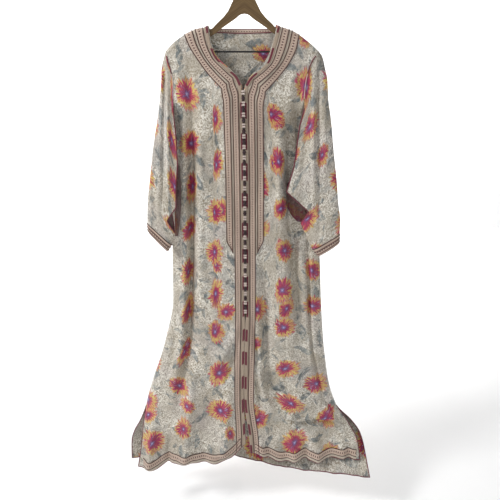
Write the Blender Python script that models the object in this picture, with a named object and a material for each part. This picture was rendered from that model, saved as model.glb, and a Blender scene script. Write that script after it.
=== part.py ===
"""A Moroccan kaftan on a wooden hanger.

Metres, +Z up. The origin is the top of the inside of the hanger's hook. The front faces -Y and the wearer's
right is at -X. "Drop" is the distance down from the top of the shoulders, and "out" is the distance from the
middle of the front towards a side, so each side is made by the same functions from its own tables.
"""

import math
from collections import namedtuple

import bpy
import numpy as np
from mathutils import Vector

# ---------------------------------------------------------------- driving sizes
SHOULDER_Z = -0.165  # height of the shoulders' top under the inside of the hook
CLOTH = 0.0015  # wall of the panels and sleeves
TRIM = 0.0009  # wall of the woven bands
GAP = 0.0003  # between pieces at a seam
LIFT = 0.0019  # neck bands over the panels, whose facets they cross
TIP_DROP = 0.064  # shoulder tip, where the armhole starts
MITRE_DROP = 0.178  # where the neck bands become the front bands
ARMPIT_DROP = 0.198
SLIT_DROP = 1.22  # top of the side slits
FLOOR_DROP = 1.450  # lowest part of the back hem
SHOULDER_ROLL = 0.012  # how far under the shoulder seam the cloth reaches its full depth
BUTTONS = 22
BUTTON_PITCH = 0.0305
FIRST_BUTTON_DROP = 0.190
SIGN = {"right": -1, "left": 1}

# ---------------------------------------------------------------- tables
Width = namedtuple("Width", "drop right left")
# Half-widths of the panels: the armhole as far as ARMPIT_DROP, and the side seam under it.
BODY_WIDTH = [
    Width(-0.030, 0.2185, 0.2055),
    Width(0.064, 0.2185, 0.2055),
    Width(0.090, 0.2140, 0.1900),
    Width(0.115, 0.2075, 0.1800),
    Width(0.150, 0.2017, 0.1730),
    Width(0.198, 0.2030, 0.1700),
    Width(0.350, 0.2110, 0.1900),
    Width(0.500, 0.2190, 0.2120),
    Width(0.690, 0.2280, 0.2350),
    Width(0.826, 0.2320, 0.2440),
    Width(0.970, 0.2630, 0.2570),
    Width(1.045, 0.2860, 0.2670),
    Width(1.122, 0.3130, 0.2800),
    Width(1.220, 0.3400, 0.3120),
]
FRONT_FLARE = BODY_WIDTH + [
    Width(1.280, 0.3490, 0.3540),
    Width(1.340, 0.3560, 0.3850),
    Width(1.450, 0.3740, 0.4000),
]
BACK_FLARE = BODY_WIDTH + [
    Width(1.280, 0.3630, 0.3660),
    Width(1.323, 0.3860, 0.3960),
    Width(1.365, 0.3990, 0.4100),
    Width(1.450, 0.4060, 0.4250),
]

Depth = namedtuple("Depth", "drop front back armhole middle")
# Depth of the front and back from the side seam, half the armhole's depth, and the side seam's own place.
BODY_DEPTH = [
    Depth(-0.030, 0.0105, 0.0105, 0.0105, 0.0000),
    Depth(0.064, 0.0135, 0.0135, 0.0115, 0.0000),
    Depth(0.120, 0.0200, 0.0190, 0.0125, 0.0000),
    Depth(0.198, 0.0280, 0.0250, 0.0135, 0.0000),
    Depth(0.250, 0.0310, 0.0280, GAP / 2, 0.0020),
    Depth(0.350, 0.0350, 0.0320, GAP / 2, 0.0050),
    Depth(0.600, 0.0385, 0.0350, GAP / 2, 0.0050),
    Depth(0.900, 0.0430, 0.0400, GAP / 2, 0.0010),
    Depth(1.220, 0.0510, 0.0480, GAP / 2, 0.0000),
    Depth(1.300, 0.0530, 0.0500, 0.0260, 0.0000),
    Depth(1.450, 0.0580, 0.0520, 0.0570, 0.0000),
]

Place = namedtuple("Place", "out drop")
SHOULDER = {
    "right": [
        Place(0.000, -0.030),
        Place(0.070, -0.020),
        Place(0.096, -0.005),
        Place(0.110, 0.003),
        Place(0.129, 0.006),
        Place(0.152, 0.015),
        Place(0.191, 0.038),
        Place(0.2185, 0.064),
    ],
    "left": [
        Place(0.000, -0.030),
        Place(0.066, -0.020),
        Place(0.086, -0.006),
        Place(0.101, 0.002),
        Place(0.116, 0.006),
        Place(0.141, 0.016),
        Place(0.186, 0.047),
        Place(0.2055, 0.064),
    ],
}
FRONT_NECK = {
    "right": [
        Place(0.003, 0.162),
        Place(0.006, 0.156),
        Place(0.0206, 0.131),
        Place(0.0436, 0.110),
        Place(0.076, 0.080),
        Place(0.0928, 0.037),
        Place(0.0968, 0.0075),
    ],
    "left": [
        Place(0.003, 0.162),
        Place(0.006, 0.152),
        Place(0.0217, 0.129),
        Place(0.0450, 0.110),
        Place(0.061, 0.094),
        Place(0.0758, 0.048),
        Place(0.0868, 0.0075),
    ],
}
BACK_NECK_DROP = 0.008

NeckStation = namedtuple("NeckStation", "in_out in_drop rim_out rim_drop")
# Both rims of the neck trim, from the shoulder seam to the mitre.
NECK_TRIM = {
    "right": [
        NeckStation(0.0985, 0.0090, 0.1620, 0.0280),
        NeckStation(0.0945, 0.0370, 0.1520, 0.0520),
        NeckStation(0.0785, 0.0800, 0.1280, 0.0900),
        NeckStation(0.0450, 0.1110, 0.0997, 0.1270),
        NeckStation(0.0215, 0.1325, 0.0720, 0.1510),
        NeckStation(0.0070, 0.1580, 0.0580, 0.1660),
        NeckStation(0.0035, 0.1765, 0.0555, 0.1765),
    ],
    "left": [
        NeckStation(0.0888, 0.0090, 0.1490, 0.0290),
        NeckStation(0.0790, 0.0450, 0.1440, 0.0560),
        NeckStation(0.0640, 0.0930, 0.1270, 0.0920),
        NeckStation(0.0460, 0.1115, 0.0990, 0.1290),
        NeckStation(0.0230, 0.1310, 0.0700, 0.1540),
        NeckStation(0.0070, 0.1550, 0.0575, 0.1670),
        NeckStation(0.0035, 0.1765, 0.0555, 0.1765),
    ],
}
# Shares of the trim's width that each band takes, from the neck outwards.
NECK_BANDS = {"neck_edge": (0.01, 0.17), "neck_band_inner": (0.22, 0.53), "neck_band_outer": (0.67, 1.0)}

Hem = namedtuple("Hem", "out drop")
FRONT_HEM = {
    "right": [
        Hem(-0.012, 1.322),
        Hem(0.010, 1.345),
        Hem(0.053, 1.394),
        Hem(0.104, 1.418),
        Hem(0.229, 1.417),
        Hem(0.274, 1.424),
        Hem(0.312, 1.443),
        Hem(0.374, 1.434),
    ],
    "left": [
        Hem(0.012, 1.372),
        Hem(0.031, 1.374),
        Hem(0.069, 1.389),
        Hem(0.135, 1.409),
        Hem(0.207, 1.398),
        Hem(0.254, 1.409),
        Hem(0.301, 1.401),
        Hem(0.400, 1.407),
    ],
}
HemSweep = namedtuple("HemSweep", "x y")
# Where the back hem lies, from -X to +X: its left part comes forward under the front.
BACK_HEM = [
    HemSweep(-0.410, 0.012),
    HemSweep(-0.300, 0.034),
    HemSweep(-0.100, 0.040),
    HemSweep(0.000, 0.012),
    HemSweep(0.108, -0.027),
    HemSweep(0.210, -0.052),
    HemSweep(0.310, -0.068),
    HemSweep(0.430, -0.091),
]
BACK_SWEEP_DROP = SLIT_DROP  # where the back starts to lean towards its hem
BACK_SWEEP_POWER = 3.0  # the lean comes late, under the front's hem

Fold = namedtuple("Fold", "drop out half depth")
# A trough in the cloth, by drop; a negative depth is a ridge.
FRONT_FOLDS = {
    "right": {
        "side trough": [
            Fold(0.110, 0.150, 0.018, 0.000),
            Fold(0.200, 0.152, 0.018, 0.007),
            Fold(0.350, 0.157, 0.018, 0.017),
            Fold(0.690, 0.166, 0.018, 0.019),
            Fold(0.830, 0.168, 0.019, 0.018),
            Fold(1.000, 0.184, 0.022, 0.014),
            Fold(1.160, 0.216, 0.026, 0.007),
            Fold(1.320, 0.250, 0.030, 0.000),
        ],
        "skirt trough": [
            Fold(0.950, 0.095, 0.030, 0.000),
            Fold(1.150, 0.110, 0.032, 0.006),
            Fold(1.400, 0.130, 0.036, 0.010),
        ],
        "hem trough": [
            Fold(1.100, 0.270, 0.026, 0.000),
            Fold(1.420, 0.282, 0.030, 0.012),
        ],
    },
    "left": {
        "side trough": [
            Fold(0.110, 0.150, 0.016, 0.000),
            Fold(0.200, 0.149, 0.016, 0.004),
            Fold(0.340, 0.138, 0.020, 0.015),
            Fold(0.540, 0.139, 0.020, 0.017),
            Fold(0.690, 0.150, 0.020, 0.016),
            Fold(0.830, 0.164, 0.024, 0.011),
            Fold(1.000, 0.184, 0.028, 0.006),
            Fold(1.200, 0.216, 0.030, 0.000),
        ],
        "trim trough": [
            Fold(0.600, 0.070, 0.022, 0.000),
            Fold(0.720, 0.070, 0.022, 0.007),
            Fold(0.900, 0.076, 0.024, 0.014),
            Fold(1.100, 0.088, 0.026, 0.014),
            Fold(1.250, 0.104, 0.030, 0.009),
            Fold(1.400, 0.120, 0.034, 0.006),
        ],
        "hem trough": [
            Fold(1.120, 0.250, 0.030, 0.000),
            Fold(1.400, 0.300, 0.036, 0.012),
        ],
    },
}
BACK_FOLDS = {
    "right": {
        "side trough": [
            Fold(0.180, 0.140, 0.024, 0.000),
            Fold(0.450, 0.146, 0.026, 0.012),
            Fold(0.850, 0.160, 0.028, 0.013),
            Fold(1.250, 0.215, 0.034, 0.004),
        ],
    },
    "left": {
        "side trough": [
            Fold(0.180, 0.130, 0.024, 0.000),
            Fold(0.400, 0.126, 0.026, 0.010),
            Fold(0.800, 0.150, 0.030, 0.014),
            Fold(1.250, 0.200, 0.034, 0.005),
        ],
    },
}

Press = namedtuple("Press", "drop share")
# How far a sleeve presses the side of the front back, and where that starts.
SLEEVE_PRESS = [Press(0.215, 0.0), Press(0.290, 1.0), Press(0.630, 1.0), Press(0.730, 0.0)]
PRESS_OUT = {"right": 0.178, "left": 0.140}
PRESS_SPREAD = 0.026
PRESSED_DEPTH = 0.22  # share of the depth left under a sleeve

SleeveSection = namedtuple("SleeveSection", "share front_edge back_edge")
# By share of the way from the armhole to the cuff: the front layer's free edge and the back layer's.
SLEEVE_EDGES = {
    "right": [
        SleeveSection(0.00, 0.2033, 0.2033),
        SleeveSection(0.04, 0.2025, 0.2085),
        SleeveSection(0.12, 0.2010, 0.2125),
        SleeveSection(0.25, 0.1965, 0.2165),
        SleeveSection(0.40, 0.1950, 0.2205),
        SleeveSection(0.56, 0.2030, 0.2230),
        SleeveSection(0.69, 0.2050, 0.2230),
        SleeveSection(0.776, 0.2330, 0.2190),
        SleeveSection(0.87, 0.2130, 0.2130),
        SleeveSection(0.95, 0.2220, 0.2220),
        SleeveSection(1.00, 0.2360, 0.2360),
    ],
    "left": [
        SleeveSection(0.00, 0.1703, 0.1703),
        SleeveSection(0.04, 0.1665, 0.1775),
        SleeveSection(0.12, 0.1600, 0.1860),
        SleeveSection(0.25, 0.1520, 0.1960),
        SleeveSection(0.40, 0.1440, 0.2040),
        SleeveSection(0.56, 0.1235, 0.2080),
        SleeveSection(0.69, 0.1900, 0.1980),
        SleeveSection(0.776, 0.1680, 0.1680),
        SleeveSection(0.87, 0.1860, 0.1860),
        SleeveSection(0.95, 0.2060, 0.2060),
        SleeveSection(1.00, 0.2240, 0.2240),
    ],
}
SLEEVE_CLOSED_FROM = {"right": 0.87, "left": 0.776}
CuffLine = namedtuple("CuffLine", "outer_drop inner_drop")
CUFF = {"right": CuffLine(0.583, 0.648), "left": CuffLine(0.620, 0.664)}
CUFF_BAND_SHARE = 0.95  # where the cuff band starts, down the sleeve
Outline = namedtuple("Outline", "drop right left")
SLEEVE_OUTER = [
    Outline(0.064, 0.2189, 0.2059),
    Outline(0.079, 0.2240, 0.2175),
    Outline(0.116, 0.2340, 0.2280),
    Outline(0.143, 0.2360, 0.2350),
    Outline(0.198, 0.2430, 0.2400),
    Outline(0.255, 0.2520, 0.2490),
    Outline(0.342, 0.2675, 0.2590),
    Outline(0.4325, 0.2810, 0.2720),
    Outline(0.494, 0.2900, 0.2790),
    Outline(0.557, 0.2940, 0.2880),
    Outline(0.665, 0.2900, 0.2880),
]
SleeveHang = namedtuple("SleeveHang", "drop middle half")
# A sleeve comes forward of the side seam as it drops, and lies on the front's pressed side.
SLEEVE_HANG = [
    SleeveHang(0.064, 0.000, 0.0115),
    SleeveHang(0.120, 0.000, 0.0125),
    SleeveHang(0.198, 0.000, 0.0135),
    SleeveHang(0.215, -0.0035, 0.0145),
    SleeveHang(0.250, -0.0085, 0.0150),
    SleeveHang(0.300, -0.0160, 0.0145),
    SleeveHang(0.350, -0.0225, 0.0135),
    SleeveHang(0.500, -0.0265, 0.0130),
    SleeveHang(0.670, -0.0280, 0.0130),
]

# Rows of points down the panels, and points across them.
TOP_SHARES = (0.0, 0.04, 0.12, 0.33, 0.62, 1.0)  # from the neck or shoulder to MITRE_DROP
BODY_ROWS = (0.198, 0.25, 0.31, 0.38, 0.45, 0.52, 0.59, 0.66, 0.73, 0.81, 0.89, 0.97, 1.05, 1.13, 1.22)
HEM_SHARES = (0.3, 0.6, 0.88, 1.0)  # from SLIT_DROP to the hem; the hem band is the last of them
BAND_COLUMNS = (0.003, 0.0125, 0.0145, 0.031, 0.038, 0.0555)  # both rims of each band down the front
COLLAR_SHARE, YOKE_SHARE = 0.8, 0.45  # columns beside the neck's side, above the chest
CHEST_SHARES = (0.25, 0.50, 0.75)  # columns between the bands and the side trough
PLEAT_SHARE = 0.4  # most of the cloth beyond the trough that its far wall takes
POINT_PULL = 0.85  # how far the outer band's end narrows towards its inner rim
OUTER_BAND_END_DROP = 0.645
BACK_SHARES = (0.0, 0.15, 0.30, 0.42, 0.53, 0.70, 0.83, 0.93, 1.0)
ARMHOLE_DROPS = [TIP_DROP + share * (MITRE_DROP - TIP_DROP) for share in TOP_SHARES] + [ARMPIT_DROP]
SLEEVE_ACROSS = (0.0, 0.10, 0.24, 0.45, 0.66, 0.84, 1.0)  # outer fold to inner edge, one per armhole row

Opening = namedtuple("Opening", "drop shift spread")
# The middle of the fastening, which wanders, and how far the fronts part under the last button.
FRONT_OPENING = [
    Opening(0.160, -0.004, 0.000),
    Opening(0.460, 0.000, 0.000),
    Opening(0.860, 0.001, 0.000),
    Opening(1.000, -0.002, 0.000),
    Opening(1.160, -0.004, 0.000),
    Opening(1.320, 0.007, 0.006),
    Opening(1.450, 0.010, 0.009),
]


# ---------------------------------------------------------------- reading the tables
def column(table, name):
    return [getattr(row, name) for row in table]


def through(places, values, wanted):
    """A smooth curve with no overshoot through the values at the places, read where wanted."""
    places, values = np.asarray(places, float), np.asarray(values, float)
    step = np.diff(places)
    rise = np.diff(values) / step
    slope = np.zeros_like(values)
    slope[0], slope[-1] = rise[0], rise[-1]
    same = rise[:-1] * rise[1:] > 0
    slope[1:-1][same] = 2 * (rise[:-1] * rise[1:])[same] / (rise[:-1] + rise[1:])[same]
    wanted = np.clip(wanted, places[0], places[-1])
    k = np.clip(np.searchsorted(places, wanted) - 1, 0, len(step) - 1)
    s = (wanted - places[k]) / step[k]
    ease = s * s * (3 - 2 * s)
    bend = s * (1 - s) * step[k] * ((1 - s) * slope[k] - s * slope[k + 1])
    return values[k] * (1 - ease) + values[k + 1] * ease + bend


def read(table, key, name, wanted):
    return through(column(table, key), column(table, name), wanted)


def ease_in(value, start, end):
    s = np.clip((value - start) / (end - start), 0, 1)
    return s * s * (3 - 2 * s)


# ---------------------------------------------------------------- form of the body
def shoulder_drop(side, out):
    return read(SHOULDER[side], "out", "drop", out)


def trough_depth(folds, out, drop):
    """How far all of a side's folds push the cloth in at a point."""
    total = 0.0
    for rows in folds.values():
        middle = read(rows, "drop", "out", drop)
        half = read(rows, "drop", "half", drop)
        depth = read(rows, "drop", "depth", drop)
        off = np.clip(np.abs(out - middle) / (1.5 * half), 0, 1)
        total = total + depth * np.cos(off * math.pi / 2) ** 2
    return total


def roll(side, out, drop):
    """0 at the shoulder seam, 1 where the cloth has its full depth."""
    under = np.clip((drop - shoulder_drop(side, out)) / SHOULDER_ROLL, 0, 1)
    return np.sqrt(1 - (1 - under) ** 2)


def crown_share(share, drop):
    """The rise from the side's depth to the middle's: slow by an armhole, steep by a seam."""
    power = 1.0 - 0.5 * ease_in(drop, ARMPIT_DROP, 0.36)
    return (1 - share**3) ** power


def front_y(side, out, drop):
    reach = read(FRONT_FLARE, "drop", side, drop)
    share = np.clip(np.abs(out) / reach, 0, 1)
    edge = read(BODY_DEPTH, "drop", "armhole", drop)
    crown = read(BODY_DEPTH, "drop", "front", drop)
    beside = ease_in(out, PRESS_OUT[side], PRESS_OUT[side] + PRESS_SPREAD)
    pressed = read(SLEEVE_PRESS, "drop", "share", drop) * beside
    depth = edge + (crown - edge) * crown_share(share, drop) * (1 - pressed * (1 - PRESSED_DEPTH))
    depth = depth - trough_depth(FRONT_FOLDS[side], out, drop) * ease_in(1 - share, 0.0, 0.12)
    return read(BODY_DEPTH, "drop", "middle", drop) - depth * roll(side, out, drop)


def back_y(side, out, drop):
    reach = read(BACK_FLARE, "drop", side, drop)
    share = np.clip(np.abs(out) / reach, 0, 1)
    edge = read(BODY_DEPTH, "drop", "armhole", drop) * (1 - ease_in(drop, SLIT_DROP, SLIT_DROP + 0.02))
    crown = read(BODY_DEPTH, "drop", "back", drop)
    depth = edge + (crown - edge) * crown_share(share, drop)
    depth = depth - trough_depth(BACK_FOLDS[side], out, drop) * ease_in(1 - share, 0.0, 0.12)
    y = read(BODY_DEPTH, "drop", "middle", drop) + depth * roll(side, out, drop)
    lean = np.clip((drop - BACK_SWEEP_DROP) / (FLOOR_DROP - BACK_SWEEP_DROP), 0, 1) ** BACK_SWEEP_POWER
    hem = read(BACK_HEM, "x", "y", SIGN[side] * out)
    return y * (1 - lean) + hem * lean


def at(side, out, drop, y):
    return Vector((SIGN[side] * float(out), float(y), SHOULDER_Z - float(drop)))


def opening_out(side, out, drop):
    """The bands follow the fastening, and the cloth beside them moves less the farther out it is."""
    follow = 1 - ease_in(out, 0.06, 0.14)
    shift = SIGN[side] * read(FRONT_OPENING, "drop", "shift", drop)
    return out + follow * (shift + read(FRONT_OPENING, "drop", "spread", drop))


# ---------------------------------------------------------------- grids of points
def front_columns(side, drop):
    """Distances out at this drop: the bands' rims, the chest, the side trough's three lines and the side."""
    rows = FRONT_FOLDS[side]["side trough"]
    trough, half = read(rows, "drop", "out", drop), read(rows, "drop", "half", drop)
    reach = read(FRONT_FLARE, "drop", side, drop)
    beyond = min(half, PLEAT_SHARE * (reach - trough))
    last_band, before = BAND_COLUMNS[-1], trough - half
    chest = ease_in(drop, 0.05, 0.20)
    neck_end = FRONT_NECK[side][-1].out - GAP
    collar, neck_side = last_band + COLLAR_SHARE * (neck_end - last_band), neck_end
    yoke = neck_end + YOKE_SHARE * (before - neck_end)
    for_chest = [last_band + share * (before - last_band) for share in CHEST_SHARES]
    collar, neck_side, yoke = (
        a * (1 - chest) + b * chest for a, b in zip((collar, neck_side, yoke), for_chest)
    )
    outs = [opening_out(side, out, drop) for out in BAND_COLUMNS]
    outs += [collar, neck_side, yoke, before, trough, trough + beyond]
    outs += [(trough + beyond + reach) / 2, reach]
    return [float(out) for out in outs]


def front_top(side, out):
    neck = FRONT_NECK[side]
    if out < neck[-1].out:
        return float(read(neck, "out", "drop", out))
    return float(shoulder_drop(side, out))


def back_top(side, out):
    if out < FRONT_NECK[side][-1].out:
        return BACK_NECK_DROP
    return float(shoulder_drop(side, out))


def row_drops(top, hem):
    upper = [top + share * (MITRE_DROP - top) for share in TOP_SHARES]
    return upper + list(BODY_ROWS) + [SLIT_DROP + share * (hem - SLIT_DROP) for share in HEM_SHARES]


def front_grid(side):
    """Rows of points from the neck and shoulder to the hem, each from the middle to the side."""
    tops = [front_top(side, out) for out in front_columns(side, 0.0)]
    last = front_columns(side, FRONT_HEM[side][-1].drop)
    hems = [float(read(FRONT_HEM[side], "out", "drop", out)) for out in last]
    drops = [row_drops(top, hem) for top, hem in zip(tops, hems)]
    grid = []
    for row in range(len(drops[0])):
        points = []
        for number, column_drops in enumerate(drops):
            drop = column_drops[row]
            out = front_columns(side, drop)[number]
            points.append(at(side, out, drop, front_y(side, out, drop)))
        grid.append(points)
    return grid


def back_grid():
    """As the fronts' grids, from the right side to the left side."""
    grid = []
    places = [("right", share) for share in reversed(BACK_SHARES)]
    places += [("left", share) for share in BACK_SHARES[1:]]
    for row in range(len(row_drops(0.0, FLOOR_DROP))):
        points = []
        for side, share in places:
            top = back_top(side, share * BODY_WIDTH[0]._asdict()[side])
            drop = row_drops(top, FLOOR_DROP)[row]
            out = share * float(read(BACK_FLARE, "drop", side, drop))
            points.append(at(side, out, drop, back_y(side, out, drop)))
        grid.append(points)
    return grid


def sleeve_point(side, across, number, share, front):
    """A point of a sleeve: across from the outer fold to the inner edge, and share of the way to the cuff."""
    armhole = ARMHOLE_DROPS[number]
    cuff = CUFF[side].outer_drop + across * (CUFF[side].inner_drop - CUFF[side].outer_drop)
    drop = armhole + share * (cuff - armhole)
    outer = read(SLEEVE_OUTER, "drop", side, drop)
    edge_name = "front_edge" if front else "back_edge"
    shares = column(SLEEVE_EDGES[side], "share")
    hung_edge = np.interp(share, shares, column(SLEEVE_EDGES[side], edge_name))
    seam = read(BODY_WIDTH, "drop", side, armhole) + GAP
    start = 1 - ease_in(share, 0.0, 0.16)
    inner = seam * start + hung_edge * (1 - start)
    width = across + (1 - across) * start if across else 0.0
    out = outer + (inner - outer) * width
    half = read(SLEEVE_HANG, "drop", "half", drop)
    if share == 0:
        half = read(BODY_DEPTH, "drop", "armhole", drop) * roll(side, seam - GAP, drop)
    crown = math.sqrt(1 - (1 - width) ** 3)
    if share >= SLEEVE_CLOSED_FROM[side]:
        crown *= math.sqrt(1 - width**4)
    y = read(SLEEVE_HANG, "drop", "middle", drop) + (-half if front else half) * crown
    return at(side, out, drop, y)


def sleeve_grid(side):
    """Rows from the armhole to the cuff, each from the front's inner edge round the fold to the back's."""
    numbers = list(range(len(SLEEVE_ACROSS)))
    around = [(n, True) for n in reversed(numbers)] + [(n, False) for n in numbers[1:]]
    return [
        [sleeve_point(side, SLEEVE_ACROSS[n], n, row.share, front) for n, front in around]
        for row in SLEEVE_EDGES[side]
    ]


# ---------------------------------------------------------------- walls of cloth
def grid_faces(rows, columns, joined_from=None, flip=False):
    """Triangles of a grid. From row joined_from the last column is the first one."""

    def index(row, col):
        if joined_from is not None and row >= joined_from and col == columns - 1:
            col = 0
        return row * columns + col

    faces = []
    for row in range(rows - 1):
        for col in range(columns - 1):
            a, b = index(row, col), index(row, col + 1)
            c, d = index(row + 1, col + 1), index(row + 1, col)
            faces += [(c, b, a), (d, c, a)] if flip else [(a, b, c), (a, c, d)]
    return faces


def point_normals(points, faces):
    normals = [Vector((0, 0, 0)) for _ in points]
    for a, b, c in faces:
        normal = (points[b] - points[a]).cross(points[c] - points[a])
        for n in (a, b, c):
            normals[n] += normal
    return [n.normalized() if n.length else n for n in normals]


def wall(name, points, faces, thickness, finish, kept_axes=None, normals=None):
    """A closed wall inside the given outer faces. kept_axes holds, for points on a seam, the axes along which
    the inner point may not move, so that the seam's rim is flat and meets its neighbour's."""
    normals = normals or point_normals(points, faces)
    inner = []
    for number, (point, normal) in enumerate(zip(points, normals)):
        way = -normal
        for axis in (kept_axes or {}).get(number, ()):
            way[axis] = 0.0
        if way.length < 0.05:
            way = Vector((0, 0, -1))
        inner.append(point + way.normalized() * thickness)
    used = sorted({n for face in faces for n in face})
    count = len(points)
    rim = {}
    for face in faces:
        for a, b in zip(face, face[1:] + face[:1]):
            if (b, a) in rim:
                del rim[(b, a)]
            else:
                rim[(a, b)] = True
    solid = list(faces) + [tuple(n + count for n in reversed(face)) for face in faces]
    for a, b in rim:  # neighbours' rims get the same diagonals, from the higher outer point
        high_first = points[a].z > points[b].z
        solid += [(b, a, b + count), (a, a + count, b + count)] if high_first else [
            (b, a, a + count),
            (b, a + count, b + count),
        ]
    renumber = {old: new for new, old in enumerate(used + [n + count for n in used])}
    every = [*points, *inner]
    mesh = bpy.data.meshes.new(name)
    mesh.from_pydata(
        [every[old] for old in renumber], [], [tuple(renumber[n] for n in face) for face in solid]
    )
    mesh.update()
    return add(name, mesh, finish)


def flat(grid):
    return [point for row in grid for point in row]


def side_seam_axes(grid, edge_columns, shoulder=True):
    """Only Y moves on the armhole's rim. Y stays on the side seam's rim and the shoulder seam's."""
    axes = {}
    columns = len(grid[0])
    armhole_rows = len(TOP_SHARES) + 1
    for row in range(len(grid)):
        for col in edge_columns:
            axes[row * columns + col] = (0, 2) if row < armhole_rows else (1,)
    for col, point in enumerate(grid[0]):
        side = "left" if point.x > 0 else "right"
        if abs(point.x) >= FRONT_NECK[side][-1].out and shoulder:
            axes[col] = (0, 1) if col in edge_columns else (1,)
    return axes


def shift_seam(grid, way):
    """Opens the shoulder seam by half the gap: the fronts move to -Y and the back to +Y."""
    for point in grid[0]:
        if abs(point.y) < GAP:
            point.y += way * GAP / 2
    return grid


def band_on(name, grid, faces, rows, cols, finish, pointed_row=None):
    """A woven band on some rows and columns of a panel: the panel's own points moved out."""
    columns = len(grid[0])
    points = flat(grid)
    normals = point_normals(points, faces)
    outer, ways = [], []
    for row in rows:
        for col in cols:
            point, way = points[row * columns + col], normals[row * columns + col]
            if row == pointed_row and col != cols[0]:
                point = point.lerp(points[row * columns + cols[0]], POINT_PULL)
                way = normals[row * columns + cols[0]]
            outer.append(point + way * (GAP + TRIM))
            ways.append(way)
    return wall(name, outer, oriented(len(rows), len(cols), grid), TRIM, finish, normals=ways)


def oriented(rows, columns, grid):
    """Faces that look away from the body, whichever way the grid's columns run."""
    points = flat(grid)
    width = len(grid[0])
    a, b, c = points[0], points[1], points[width]
    normal = (b - a).cross(c - a)
    outside = Vector((0, -1, 0)) if a.y <= 0 else Vector((0, 1, 0))
    return grid_faces(rows, columns, flip=normal.dot(outside) < 0)


# ---------------------------------------------------------------- objects and materials
def add(name, mesh, finish):
    made = bpy.data.objects.new(name, mesh)
    made.data.materials.append(finish)
    for polygon in mesh.polygons:
        polygon.use_smooth = True
    kaftan.objects.link(made)
    return made


def material(name, colour, roughness, metallic=0.0):
    made = bpy.data.materials.new(name)
    made.use_nodes = True
    shader = made.node_tree.nodes["Principled BSDF"]
    shader.inputs["Base Color"].default_value = (*colour, 1)
    shader.inputs["Roughness"].default_value = roughness
    shader.inputs["Metallic"].default_value = metallic
    return made


def tube(name, points, radius, sides, finish):
    """A round cord or wire through the points, with flat closed ends."""
    curve = bpy.data.curves.new(name, "CURVE")
    curve.dimensions = "3D"
    curve.bevel_depth = radius
    curve.bevel_resolution = sides
    curve.use_fill_caps = True
    spline = curve.splines.new("POLY")
    spline.points.add(len(points) - 1)
    for knot, point in zip(spline.points, points):
        knot.co = (*point, 1)
    made = bpy.data.objects.new(name, curve)
    curve.materials.append(finish)
    kaftan.objects.link(made)
    return made


# ---------------------------------------------------------------- the hanger
WOOD_THICK = 0.012
ARM_END_OUT = 0.192
ArmStation = namedtuple("ArmStation", "out top under")
# Half of the wood's outline, by distance out: its top edge and its underside, as drops.
HANGER_WOOD = [
    ArmStation(0.000, -0.0950, -0.0315),
    ArmStation(0.009, -0.0948, -0.0300),
    ArmStation(0.0145, -0.0920, -0.0270),
    ArmStation(0.021, -0.0840, -0.0215),
    ArmStation(0.030, -0.0670, -0.0150),
    ArmStation(0.0445, -0.0385, -0.0060),
    ArmStation(0.058, -0.0225, 0.0030),
    ArmStation(0.0745, -0.0080, 0.0150),
    ArmStation(0.0868, 0.0045, 0.0235),
    ArmStation(0.0995, 0.0125, 0.0310),
    ArmStation(0.150, 0.0390, 0.0585),
    ArmStation(0.180, 0.0550, 0.0735),
    ArmStation(0.188, 0.0605, 0.0755),
    ArmStation(ARM_END_OUT, 0.0665, 0.0730),
]
BAR_RADIUS, BAR_DROP, BAR_HALF = 0.0026, 0.067, 0.1575
HOOK_WIRE, HOOK_INSIDE = 0.0019, 0.019


def make_hanger():
    """Arms cut from one board, a bar between them and a wire hook over the middle."""
    half = [(row.out, row.top) for row in HANGER_WOOD]
    half += [(row.out, row.under) for row in reversed(HANGER_WOOD)]
    outline = half + [(-out, drop) for out, drop in reversed(half) if out]
    curve = bpy.data.curves.new("hanger_wood", "CURVE")
    curve.dimensions = "2D"
    curve.fill_mode = "BOTH"
    curve.extrude = WOOD_THICK / 2
    spline = curve.splines.new("POLY")
    spline.points.add(len(outline) - 1)
    for knot, (out, drop) in zip(spline.points, outline):
        knot.co = (out, SHOULDER_Z - drop, 0, 1)
    spline.use_cyclic_u = True
    wood = bpy.data.objects.new("hanger_wood", curve)
    wood.rotation_euler = (math.pi / 2, 0, 0)
    curve.materials.append(MATERIALS["wood"])
    kaftan.objects.link(wood)

    bar = [(x, 0, SHOULDER_Z - BAR_DROP) for x in (-BAR_HALF, 0, BAR_HALF)]
    tube("hanger_bar", bar, BAR_RADIUS, 3, MATERIALS["bar"])

    ring, middle = HOOK_INSIDE + HOOK_WIRE, -HOOK_INSIDE
    turns = [math.radians(angle) for angle in range(-30, 226, 15)]
    hook = [(ring * math.cos(a), 0, middle + ring * math.sin(a)) for a in turns]
    foot = SHOULDER_Z - HANGER_WOOD[0].top + GAP
    hook += [(-0.0085, 0, middle - 0.0185), (-0.0028, 0, middle - 0.0222)]
    hook += [(0.0, 0, middle - 0.0275), (0.0, 0, foot)]
    tube("hanger_hook", hook, HOOK_WIRE, 2, MATERIALS["steel"])


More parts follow.
